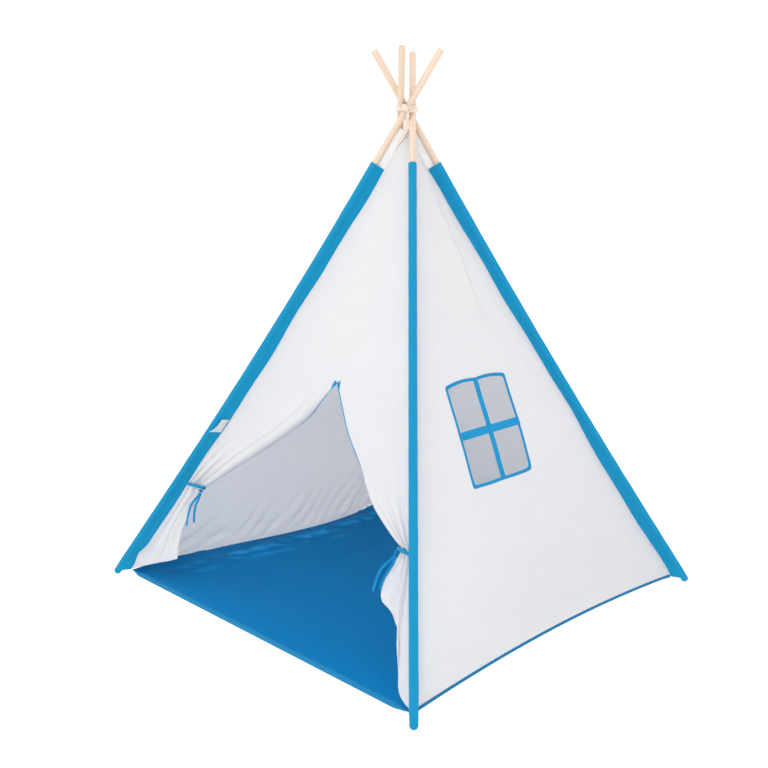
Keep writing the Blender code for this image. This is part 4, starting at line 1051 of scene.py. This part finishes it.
across, up, kept = window_grid()
grid = placed("window", across, up, window_relief(across, up))
window_front = cloth("window_wall_front", grid, WHITE_CLOTH, kept=kept)
gather_with(window_front, "front_right", "window", "window_panel")
print("window opening", round(WINDOW_WIDTH, 3), "by", round(WINDOW_HEIGHT, 3), "m")

# %% [markdown]
# ## Plain walls
# The rear and left walls, and the rest of the right one, are plain cloth. A half wall is a grid
# between its seam and the line where the two halves meet. The folds that the mat pulls into the
# foot of the left wall are seen through the door.

# %% Plain walls
def side_relief(across, up):
    """Slack, and slanting folds that rise from the hem of the left wall and die out. They
    crowd towards the rear corner: their phase is x / 19 mm - (x / 250 mm)^2."""
    above = above_hem("side", across, up)
    slant = across + 0.85 * above
    near_foot = smooth(1 - above / (230 * MM)) * smooth(above / (40 * MM))
    phase = slant / (19 * MM) - (slant / (250 * MM)) ** 2
    phase = phase + 1.6 * ripples(across, above, 260 * MM, 43)
    uneven = 0.7 + 0.8 * ripples(across, above, 150 * MM, 44)
    folds = -15 * MM * uneven * np.abs(np.sin(phase)) ** 0.9
    folds = folds * near_foot * (0.5 + 0.5 * smooth(0.5 - across / (500 * MM)))
    return cloth_relief(across, up, 41) * smooth(above / HEM_CALM) + folds


def rear_relief(across, up):
    """Slack, and weaker folds at the foot."""
    above = above_hem("rear", across, up)
    folds = 2.0 * MM * np.sin((across + 0.6 * above) / (15 * MM)) * smooth(1 - above / (150 * MM))
    return (cloth_relief(across, up, 51) + folds) * smooth(above / HEM_CALM)


RELIEFS = {"window": window_relief, "rear": rear_relief, "side": side_relief}


def corner_sign(wall, corner):
    """-1 at a wall's left corner and 1 at its right one."""
    return 2 * WALLS[wall].index(corner) - 1


def plain_half(wall, corner):
    """From the seam at its corner to the line where the halves meet. The bottom row depends on
    how far across it is, and that on the height, so both are worked out twice."""
    part, raised = shares(111)[None], shares(171)[:, None]
    up = raised * WALL_TOP[wall]
    for _ in range(2):
        seam = corner_sign(wall, corner) * wall_width(wall, up) / 2
        meet = wall_split(up) if wall == "window" else 0.0
        across = seam + (meet - seam) * part
        bottom = hem_rise(wall, np.clip(0.5 + across[:1] / wall_width(wall, 0.0), 0, 1))
        up = bottom + (WALL_TOP[wall] - bottom) * raised
    return placed(wall, across, up, RELIEFS[wall](across, up))


for wall, corner in (("window", "rear_right"), ("rear", "rear_right"), ("rear", "rear_left"),
                     ("side", "rear_left"), ("side", "front_left")):
    grid = plain_half(wall, corner)
    half = cloth(f"{wall}_wall_{corner}", grid, WHITE_CLOTH)
    gather_with(half, corner, wall, f"{wall}_panel")

# %% [markdown]
# Above each sleeve the seam goes on without its blue strip, and a narrow band of white cloth is
# left between the seam and the pole.

# %% Cloth above the sleeves
for corner in CORNERS:
    part, raised = shares(12)[None], shares(40)[:, None]
    rise = SLEEVE_TOP - 5 * MM + (SEAM_TOP - SLEEVE_TOP) * raised
    seam_in = SEAM_INSET + seam_wave(corner, rise)
    pole_in = POLE_RADIUS * 0.9 + 2.5 * MM * raised
    slack = 0.5 * MM * np.sin(math.pi * part) * np.cos(rise / (20 * MM))
    grid = by_pole(corner, seam_in + (pole_in - seam_in) * part, slack, rise)
    band = cloth(f"{corner}_seam_band", grid, WHITE_CLOTH)
    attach(band, f"{corner}_pole")

# %% [markdown]
# ## Hems and window tapes
# The hem is a tape folded over the wall's lower edge. It follows the arch of the wall and is
# cut at the same line as the wall, because each half rides on its own pole.

# %% Hems
HEM_DROP = 3.4 * MM
HEM_REACH = 4.2 * MM
HEM_BULGE = 1.3 * MM


def hem_half(wall, corner):
    """A pillow-shaped band along the arch: across the hem its out follows a half sine."""
    meet = wall_split(0.0) if wall == "window" else 0.0
    half = wall_width(wall, 0.0) / 2
    across = np.linspace(corner_sign(wall, corner) * (half - SEAM_ALLOWANCE), meet, 150)[:, None]
    share = 0.5 + across / (2 * half)
    turn = full_turn(14)
    up = hem_rise(wall, share) - HEM_DROP + HEM_REACH * np.cos(turn)
    out = RELIEFS[wall](across, np.maximum(up, 20 * MM)) + HEM_BULGE * np.sin(turn)
    flat = together(HEM_HEIGHT / 2 * np.cos(turn), np.abs(across - across[0]))
    hem = ringed(f"{wall}_hem_{corner}", on_wall(wall, share, up, out), BLUE_HEM, flat=flat)
    gather_with(hem, corner, wall, f"{wall}_hem")


for wall in RELIEFS:
    for corner in WALLS[wall]:
        hem_half(wall, corner)

# %% Window frame and tapes
def outline(inset):
    """The window's edge, drawn in by an inset, anticlockwise, with its corners rounded by a
    running average over the neighbouring points, most of all at the lower right."""
    share = shares(60)
    low = np.stack(window_edge(share, -1, inset), -1)
    high = np.stack(window_edge(share[::-1], 1, inset), -1)
    right = low[-1] + (high[0] - low[-1]) * share[1:-1, None]
    left = high[-1] + (low[0] - high[-1]) * share[1:-1, None]
    line = np.concatenate([low, right, high, left])
    near = bump_at(np.hypot(*(line - low[-1]).T), 0.0, 30 * MM)[:, None]
    return averaged(line, 2) * (1 - near) + averaged(line, 10) * near


inner, outer = outline(WINDOW_BINDING - 2.5 * MM), outline(-1.4 * MM)
lie = section(1.0, 1.0, 16, 3.0)
across, up = np.moveaxis(outer[:, None] + (inner - outer)[:, None] * (lie[:, :1] + 0.5), -1, 0)
rings = placed("window", across, up, 2.6 * MM * lie[:, 1] + window_relief(across, up))
flat = together(WINDOW_BINDING * lie[:, 0], run_lengths(outer)[:, None])
window_frame = ringed("window_binding", rings, BLUE_BINDING, closed=True, flat=flat)


def window_tape(name, start, end, width, lift):
    """A straight tape across the window, from one place on the wall to another."""
    across, up = np.linspace(start, end, 60).T
    path = placed("window", across, up, lift + window_relief(across, up))
    side_way = np.cross(NORMAL["window"], np.gradient(path, axis=0))
    return swept(name, path, side_way, section(width, 1.4 * MM, 20, 5.0), BLUE_WIDE_TAPE)


middle_up = WINDOW_SILL + WINDOW_HEIGHT / 2
reach = WINDOW_WIDTH / 2 - 0.3 * MM
head = window_edge(0.5, 1, WINDOW_BINDING * 0.6)[1]
sill = window_edge(0.5, -1, WINDOW_BINDING * 0.6)[1]
upright = window_tape("window_upright", (WINDOW_SHIFT, sill), (WINDOW_SHIFT, head), 18 * MM, 0.0)
cross = window_tape("window_cross", (WINDOW_SHIFT - reach, middle_up),
                    (WINDOW_SHIFT + reach, middle_up), 22 * MM, 2.2 * MM)
for piece, node in ((window_frame, "window_frame"), (upright, "window_upright_tape"),
                    (cross, "window_cross_tape")):
    gather_with(piece, "front_right", "window", node)

# %% [markdown]
# ## Sleeves
# A sleeve is a folded strip of blue cotton round its pole, stitched flat on its inner side,
# where the walls are sewn in. Cut across it is a teardrop: an arc round the pole and two flanks
# that meet in the flat seam. At the foot it narrows to a closed sock.

# %% Sleeves
def teardrop(corner, rise, radius, shrink):
    """Inward and sideways of each ring: the seam's flat, a flank, the arc round the pole, and
    back. Below the sock's rise it turns into a circle of the given radius."""
    seed = list(CORNERS).index(corner) + 60
    rise, radius = rise[:, None], radius[:, None]
    tip = SLEEVE_DEPTH + seam_wave(corner, rise) - shrink * 0.5
    neck = tip - SEAM_ALLOWANCE
    start = np.arccos(np.clip(radius / neck, -1.0, 1.0))
    arc = start + (2 * math.pi - 2 * start) * shares(60)
    full = (0.7 + 0.5 * ripples(arc * SLEEVE_RADIUS, rise, 70 * MM, seed)) * MM
    body = radius + full * smooth((rise - SOCK_RISE) / (30 * MM))
    arc_in, arc_side = body * np.cos(arc), body * np.sin(arc)
    s, q = shares(16)[:-1], shares(6)[:-1]
    thin = 1.0 * MM - shrink * 0.7
    sag = 1.3 * MM * np.sin(math.pi * s) * (1 + 0.6 * np.sin(rise / (55 * MM) + seed))
    flank_in = neck + (arc_in[:, :1] - neck) * s
    flank_side = thin + (arc_side[:, :1] - thin) * s - sag * smooth(s * 2)
    seam_in = tip + (neck - tip) * q
    seam_side = np.broadcast_to(thin * np.minimum(1.0, 0.35 + 2 * q), seam_in.shape)
    inward = np.concatenate([seam_in, flank_in, arc_in, flank_in[:, ::-1], seam_in[:, ::-1]], 1)
    sideways = np.concatenate([seam_side, flank_side, arc_side, -flank_side[:, ::-1],
                               -seam_side[:, ::-1]], 1)
    turn = full_turn(inward.shape[1], 0.5)
    fullness = smooth((rise - SOCK_RISE) / (CORNER_RISE - SOCK_RISE))
    return (inward * fullness + radius * np.cos(turn) * (1 - fullness),
            sideways * fullness + radius * np.sin(turn) * (1 - fullness))


def make_sleeve(corner):
    """Outer skin up from the foot, over the rim, and the inner skin down again."""
    polar = np.radians(np.linspace(86, 0, 12))
    straight = np.concatenate([np.linspace(SOCK_RISE, CORNER_RISE, 16),
                               np.linspace(CORNER_RISE, SLEEVE_TOP, 230)[1:]])
    skins = []
    for shrink in (0.0, 0.8 * MM):
        radius = SLEEVE_RADIUS - shrink
        rise = np.concatenate([FOOT_RISE - radius * np.sin(polar), straight])
        radii = np.concatenate([radius * np.cos(polar), np.full(len(straight), radius)])
        inward, sideways = teardrop(corner, rise, radii, shrink)
        skins.append(by_pole(corner, inward, sideways, rise[:, None]))
    rings = np.concatenate([skins[0], skins[1][::-1]])
    rings[..., 2] = np.maximum(rings[..., 2], 0.1 * MM)
    steps = np.linalg.norm(np.diff(rings, axis=1), axis=-1)
    from_seam = np.pad(np.cumsum(steps, 1), ((0, 0), (1, 0)))
    from_seam = np.minimum(from_seam, from_seam[:, -1:] - from_seam)
    flat = together(from_seam, np.concatenate([rise, rise[::-1]])[:, None])
    return ringed(f"{corner}_sleeve_cloth", rings, BLUE_CLOTH, flat=flat)


for corner in CORNERS:
    piece = make_sleeve(corner)
    stands_for(piece, f"{corner}_pole", f"{corner}_sleeve")
    print(piece.name, "has", len(piece.data.vertices), "points")

# %% [markdown]
# ## Poles
# Each pole is three dowels joined in steel ferrules, turned as a profile round the pole's axis:
# a rounded foot, plain lengths with a thinner neck in each ferrule, and an eased tip.

# %% Poles
SECTION = POLE_LENGTH / 3
POLE_BOTTOM = FOOT_RISE - POLE_RADIUS
NECK_RADIUS = 7.9 * MM
NECK_LENGTH = 40 * MM
FERRULE_LENGTH = 80 * MM
FERRULE_BORE = 8.2 * MM
TIP_EASE = 2.5 * MM


def dowel_profile(order):
    """Rise and radius along a section (0 is the lowest), from its lower end to its upper end:
    an end in a ferrule is a narrow neck, the foot is round and the tip is eased."""
    low, high = POLE_BOTTOM + order * SECTION, POLE_BOTTOM + (order + 1) * SECTION
    neck = np.array([(0.2 * MM, NECK_RADIUS), (NECK_LENGTH, NECK_RADIUS),
                     (NECK_LENGTH, POLE_RADIUS)])
    start, end = neck + (low, 0.0), (neck * (-1, 1))[::-1] + (high, 0.0)
    if order == 0:
        turn = np.radians(np.linspace(84, 0, 12))
        start = np.stack([low + POLE_RADIUS * (1 - np.sin(turn)), POLE_RADIUS * np.cos(turn)], -1)
    if order == 2:
        turn = np.radians(np.linspace(0, 88, 10))
        end = np.stack([high - TIP_EASE * (1 - np.sin(turn)),
                        POLE_RADIUS - TIP_EASE * (1 - np.cos(turn))], -1)
    return np.concatenate([start, np.linspace(start[-1], end[0], 30)[1:-1], end])


turn = full_turn(48)
for index, corner in enumerate(CORNERS):
    for order, part in enumerate(("lower", "middle", "upper")):
        rise, radius = dowel_profile(order).T[..., None]
        inward, sideways = radius * np.cos(turn), radius * np.sin(turn)
        piece = ringed(f"{corner}_pole_{part}_wood", by_pole(corner, inward, sideways, rise), PINE)
        ends = [(0.0, 0.0, rise[0, 0]), (0.0, 0.0, rise[-1, 0])]
        shift = (index * 3 + len(part)) * 0.37
        grain = np.concatenate([together(inward, sideways, rise).reshape(-1, 3), ends])
        keep_on(piece, "grain", grain + (shift, -shift, 0.0), "FLOAT_VECTOR", "vector")
        stands_for(piece, f"{corner}_pole", f"{corner}_pole_{part}")
    for order, part in ((1, "lower"), (2, "upper")):
        corners = np.array([(-1, FERRULE_BORE), (-1, POLE_RADIUS), (1, POLE_RADIUS),
                            (1, FERRULE_BORE)]) * (FERRULE_LENGTH / 2, 1.0)
        edges = np.concatenate([np.linspace(*pair, 9)[:-1] for pair in
                                zip(corners, np.roll(corners, -1, 0))])
        rise, radius = (edges + (POLE_BOTTOM + order * SECTION, 0.0)).T[..., None]
        rings = by_pole(corner, radius * np.cos(turn), radius * np.sin(turn), rise)
        ferrule = ringed(f"{corner}_steel_ferrule_{part}", rings, STEEL, closed=True)
        stands_for(ferrule, f"{corner}_pole", f"{corner}_ferrule_{part}")
print("a dowel section is", round(SECTION, 3), "m long")

# %% [markdown]
# ## Floor mat
# The mat is sewn to the hems. It lies on the floor and climbs to its edges, where it wrinkles.
# Its outline has four unlike sides, so its points come from a Coons patch: the two ruled
# surfaces between opposite sides, less the one through the four corners.

# %% Floor mat
MAT = 2 * MM
MAT_RISE = 260 * MM
MAT_INSET = 2.4 * MM
SILL_SAG = 2 * MM
SILL_WIDTH = 18 * MM


def mat_corner(corner):
    """Just off the end of the sleeve's seam."""
    return by_pole(corner, SLEEVE_DEPTH + MAT_INSET, 0.0, CORNER_RISE - HEM_HEIGHT / 2)


def mat_edge(wall, share):
    """A wall's hem line, moved in, with its ends drawn to the mat's corners."""
    share = np.asarray(share, float)
    line = on_wall(wall, share, hem_rise(wall, share) + 3 * MM, -MAT_INSET)
    for corner, end in zip(WALLS[wall], (0.0, 1.0)):
        there = on_wall(wall, end, hem_rise(wall, end) + 3 * MM, -MAT_INSET)
        line = line + (mat_corner(corner) - there) * (1 - np.abs(share - end)[..., None]) ** 6
    return line


def mat_front(share):
    """A nearly straight line between the front corners, with a small sag."""
    share = np.asarray(share, float)[..., None]
    line = mat_corner("front_left") * (1 - share) + mat_corner("front_right") * share
    return line - VERTICAL * SILL_SAG * np.sin(math.pi * share)


def mat_surface(a, b):
    """Coons patch in plan. Its height falls from the edges with a power of the distance. Two
    uneven ridges run along the left and rear hems, with small crumples between them."""
    low, high = mat_front(a), mat_edge("rear", 1 - a)
    left, right = mat_edge("side", 1 - b), mat_edge("window", b)
    c00, c10 = mat_front(0.0), mat_front(1.0)
    c01, c11 = mat_edge("rear", 1.0), mat_edge("rear", 0.0)
    a, b = a[..., None], b[..., None]
    corners = (c00 * (1 - a) + c10 * a) * (1 - b) + (c01 * (1 - a) + c11 * a) * b
    point = low * (1 - b) + high * b + left * (1 - a) + right * a - corners
    a, b = a[..., 0], b[..., 0]
    size = float(wall_width("door", 0.0))
    nearest = np.minimum(np.minimum(a, 1 - a), np.minimum(b, 1 - b)) * size
    climb = np.maximum(0.0, 1 - nearest / MAT_RISE) ** 1.3
    edge_height = np.maximum(low[..., 2] * (1 - b) + high[..., 2] * b,
                             left[..., 2] * (1 - a) + right[..., 2] * a)
    x, y = point[..., 0], point[..., 1]
    from_side = np.minimum(a, 1 - b) * size
    along = np.where(a < 1 - b, y, x)
    wander = 16 * MM * ripples(along, 0.0, 260 * MM, 74)
    uneven = np.clip(0.55 + 0.9 * ripples(along, 2 * from_side, 150 * MM, 71), 0.0, 1.0)
    ridge = bump_at(from_side, 62 * MM + wander, 20 * MM) * uneven
    second = bump_at(from_side, 118 * MM - 1.4 * wander, 22 * MM) * (1 - uneven)
    crumple = bump_at(from_side, 80 * MM, 50 * MM) * ripples(x + y, 1.6 * (x - y), 60 * MM, 73)
    wrinkles = 11 * MM * ridge + 7 * MM * second + 3.5 * MM * crumple
    wrinkles = np.maximum(wrinkles, 0.0) * smooth(from_side / (25 * MM)) * smooth(b * 4)
    gentle = 0.8 * MM * (1 + ripples(x, y, 190 * MM, 72)) * smooth(nearest / (60 * MM))
    point[..., 2] = MAT / 2 + (edge_height - MAT / 2) * climb + wrinkles + gentle
    return point


def facing_the_door(grid):
    """1 where the cloth slopes towards the door by 30 degrees or more, and 0 where it is flat:
    the share of its normal that points forward and to the right. It marks where the mat gets its
    painted highlight."""
    normal = normals(grid)
    normal = normal * np.sign(normal[..., 2:])
    return smooth((normal @ np.array([0.5, -0.87, 0.0]) - 0.02) / 0.4)


mat_grid = mat_surface(*np.meshgrid(shares(151), shares(151)))
mat = cloth("floor_mat_cloth", mat_grid, BLUE_MAT, thickness=1.2 * MM)
# Painted highlight: the mat's colour is lightened where its wrinkles slope towards the door.
keep_on(mat, "shine", np.tile(facing_the_door(mat_grid).ravel(), 2))
stands_for(mat, "cover", "floor_mat")

sill_line = mat_surface(np.linspace(0.02, 0.98, 160), np.zeros(160))
ends = np.minimum(shares(160), shares(160)[::-1])
sill = swept("mat_front_binding", sill_line + (0.0, -SILL_WIDTH / 10, 0.8 * MM), (0.0, 1.0, 0.0),
             section(SILL_WIDTH + 2 * MM, 2.6 * MM, 24, 3.5), BLUE_BINDING,
             taper=0.25 + 0.75 * smooth(ends / 0.03))
stands_for(sill, "cover", "door_sill_binding")

# %% [markdown]
# ## Top tie
# A cotton tape is wound three times round the crossing. Between two poles a taut tape runs
# straight, and round a pole it follows the pole, so its path is the outline of four circles
# wrapped by a band. The distance from the middle line at an angle is the smaller of the
# straight run's and the pole's.

# %% Top tie
CORD = 5.2 * MM
TURNS = 3
TIE_HEIGHT = CROSSING_HEIGHT - bend("front_right", CROSSING_RISE) / math.sin(SPLAY)
POLE_ASLANT = POLE_RADIUS / math.cos(SPLAY / 2)
TO_FRONT_RIGHT = math.atan2(-BASE_DEPTH, BASE_WIDTH)


def wrapped(angle):
    """Distance from the middle line of a taut band round the four poles, one per quarter turn,
    rounded off where the straight run meets the pole."""
    eighth = math.pi / 4
    folded = (angle + eighth) % (2 * eighth) - eighth
    radius = POLE_ASLANT + CORD / 2
    straight = (POLE_OFFSET * math.cos(eighth) + radius) / np.cos(eighth - np.abs(folded))
    round_pole = POLE_OFFSET * np.cos(folded) + np.sqrt(
        np.maximum(radius ** 2 - (POLE_OFFSET * np.sin(folded)) ** 2, 0.0))
    return np.minimum(straight, round_pole) + 0.8 * MM


first_pole = math.atan2(pole_frame("front_left")[2][1], pole_frame("front_left")[2][0])
wound = shares(72 * TURNS + 1) * TURNS
angle = TO_FRONT_RIGHT - math.radians(6) + 2 * math.pi * wound
outward = together(np.cos(angle), np.sin(angle), 0.0)
height = TIE_HEIGHT + CORD * (wound - TURNS / 2) + 0.5 * MM * np.sin(angle * 2.3)
path = outward * wrapped(angle - first_pole)[:, None] + VERTICAL * height[:, None]
twist = np.sin(angle * 3.1)[:, None] * 0.06
winding = swept("crossing_tie", path, VERTICAL * np.cos(twist) + outward * np.sin(twist),
                section(CORD * 1.2, CORD * 0.5, 18, 4.0), CREAM_TAPE)
stands_for(winding, "cover", "top_tie")


def round_middle(degrees, distance, height):
    """A point at a distance from the middle line, turned anticlockwise from the front right."""
    turned = TO_FRONT_RIGHT + math.radians(degrees)
    return np.array([distance * math.cos(turned), distance * math.sin(turned), height])


OUTSIDE = POLE_OFFSET + POLE_ASLANT + 3.5 * MM
KNOT_STANDS_OFF = 8.9 * MM
knot_place = round_middle(23, OUTSIDE + KNOT_STANDS_OFF, TIE_HEIGHT)
away = unit(knot_place * (1.0, 1.0, 0.0))
top_knot = knotted("crossing_knot", knot_place, np.cross(VERTICAL, away), VERTICAL, 7.5 * MM,
                   6.0 * MM, CREAM_TAPE)
stands_for(top_knot, "cover", "top_tie_knot")

strap_top = WALL_TOP["door"] - 4 * MM
strap_share = SEAM_ALLOWANCE / wall_width("door", strap_top)
strap_points = [on_wall("door", 0.03, strap_top - 52 * MM, 2 * MM),
                on_wall("door", 0.08, strap_top - 25 * MM, 3 * MM),
                on_wall("door", strap_share, strap_top, 3 * MM)]
drop = TIE_HEIGHT - strap_points[-1][2]
strap_points += [round_middle(3, 0.62 * OUTSIDE, TIE_HEIGHT - 0.62 * drop),
                 round_middle(4, 1.04 * OUTSIDE, TIE_HEIGHT - 0.30 * drop),
                 round_middle(14, OUTSIDE, TIE_HEIGHT - 11 * MM)]
path, length = curve_through(strap_points, 2 * MM)
lean = 0.9 * shares(len(path))[:, None]
strap_way = unit(np.cross(NORMAL["door"], path[-1] - path[0])) * np.cos(lean) + away * np.sin(lean)
strap = swept("cover_strap", path, strap_way, section(12 * MM, 1.8 * MM, 16, 2.8), CREAM_TAPE,
              taper=0.12 + 0.88 * smooth(3 * shares(len(path))))
stands_for(strap, "cover", "top_tie_strap")
print("the strap is", round(float(length), 3), "m long")

# %% [markdown]
# ## Care tab
# A small bare tab of white ribbon is caught in the left front seam and lies over the sleeve.

# %% Care tab
TAB_RISE = 570 * MM
TAB_LENGTH = 44 * MM
TAB_WIDTH = 17 * MM
TAB_TAPER = 11 * MM
TAB_SLANT = 9 * MM


def flank_height(x):
    """How far the sleeve's flank stands sideways at a distance inward from the pole's axis."""
    neck = SLEEVE_DEPTH - SEAM_ALLOWANCE
    touch = SLEEVE_RADIUS ** 2 / neck
    side = SLEEVE_RADIUS * math.sin(math.acos(SLEEVE_RADIUS / neck))
    arc = np.sqrt(np.maximum(SLEEVE_RADIUS ** 2 - x * x, 0.0))
    return np.where(x <= touch, arc, side + (1 * MM - side) * np.minimum(1, (x - touch) / (
        neck - touch)))


outer_share, lowered = shares(20)[:, None], shares(24)[None]
inward = SLEEVE_DEPTH - SEAM_ALLOWANCE - outer_share * (TAB_WIDTH + TAB_TAPER * lowered ** 3)
lift = flank_height(inward) + 3.4 * MM + 1.5 * MM * np.sin(math.pi * lowered) * outer_share
rise = TAB_RISE + (0.5 - lowered) * TAB_LENGTH - outer_share * TAB_SLANT * (1 + 0.6 * lowered)
tab_grid = by_pole("front_left", inward, lift, rise)
tab = cloth("care_tab", tab_grid, WHITE_CLOTH, 0.8 * MM)
stands_for(tab, "front_left_pole", "seam_tab")

# %% [markdown]
# ## Studio
# The teepee stands on a plain white floor that runs out of sight under a white sky. A large
# soft light stands near the camera, a weak one at the right and a cool one at the left, and a
# low one shines into the door. The floor glows like a lit table, so it stays pure white.

# %% Studio
FLOOR_REACH = 15.0
paper, _, shader, _ = new_material("white_background_paper")
fill(shader, {"Base Color": paint("#606060"), "Roughness": 0.95, "Specular IOR Level": 0.0,
              "Emission Color": paint("#FFFFFF"), "Emission Strength": 1.15})
mesh = bpy.data.meshes.new("floor")
mesh.from_pydata([(x * FLOOR_REACH, y * FLOOR_REACH, 0.0) for x, y in CORNERS.values()],
                 [], [(0, 1, 2, 3)])
mesh.materials.append(paper)
floor = bpy.data.objects.new("floor", mesh)
floor.location.z = -1.0 * MM
bpy.context.scene.collection.objects.link(floor)

for name, turn, tilt, distance, size, power, tint in (
        ("key", 20, 40, 4.0, 2.6, 34, "#FFFFFF"), ("fill", 110, 30, 4.5, 3.0, 10, "#FFFFFF"),
        ("rim", -85, 20, 4.5, 3.0, 24, "#EAF2FF"), ("into_door", 42, 6, 4.0, 1.6, 8, "#DCE8FF")):
    light = bpy.data.lights.new(name, "AREA")
    light.shape, light.size, light.energy = "SQUARE", size, power
    light.color = paint(tint)[:3]
    way, level = seen_from(turn, tilt)
    face(bpy.data.objects.new(name, light), level, np.cross(way, level), way,
         way * distance + (0.0, 0.0, 0.6))

world = bpy.data.worlds.new("white_sky")
world.use_nodes = True
fill(world.node_tree.nodes["Background"], {"Color": paint("#FFFFFF"), "Strength": 1.06})
bpy.context.scene.world = world
bpy.context.scene.view_settings.view_transform = "Standard"
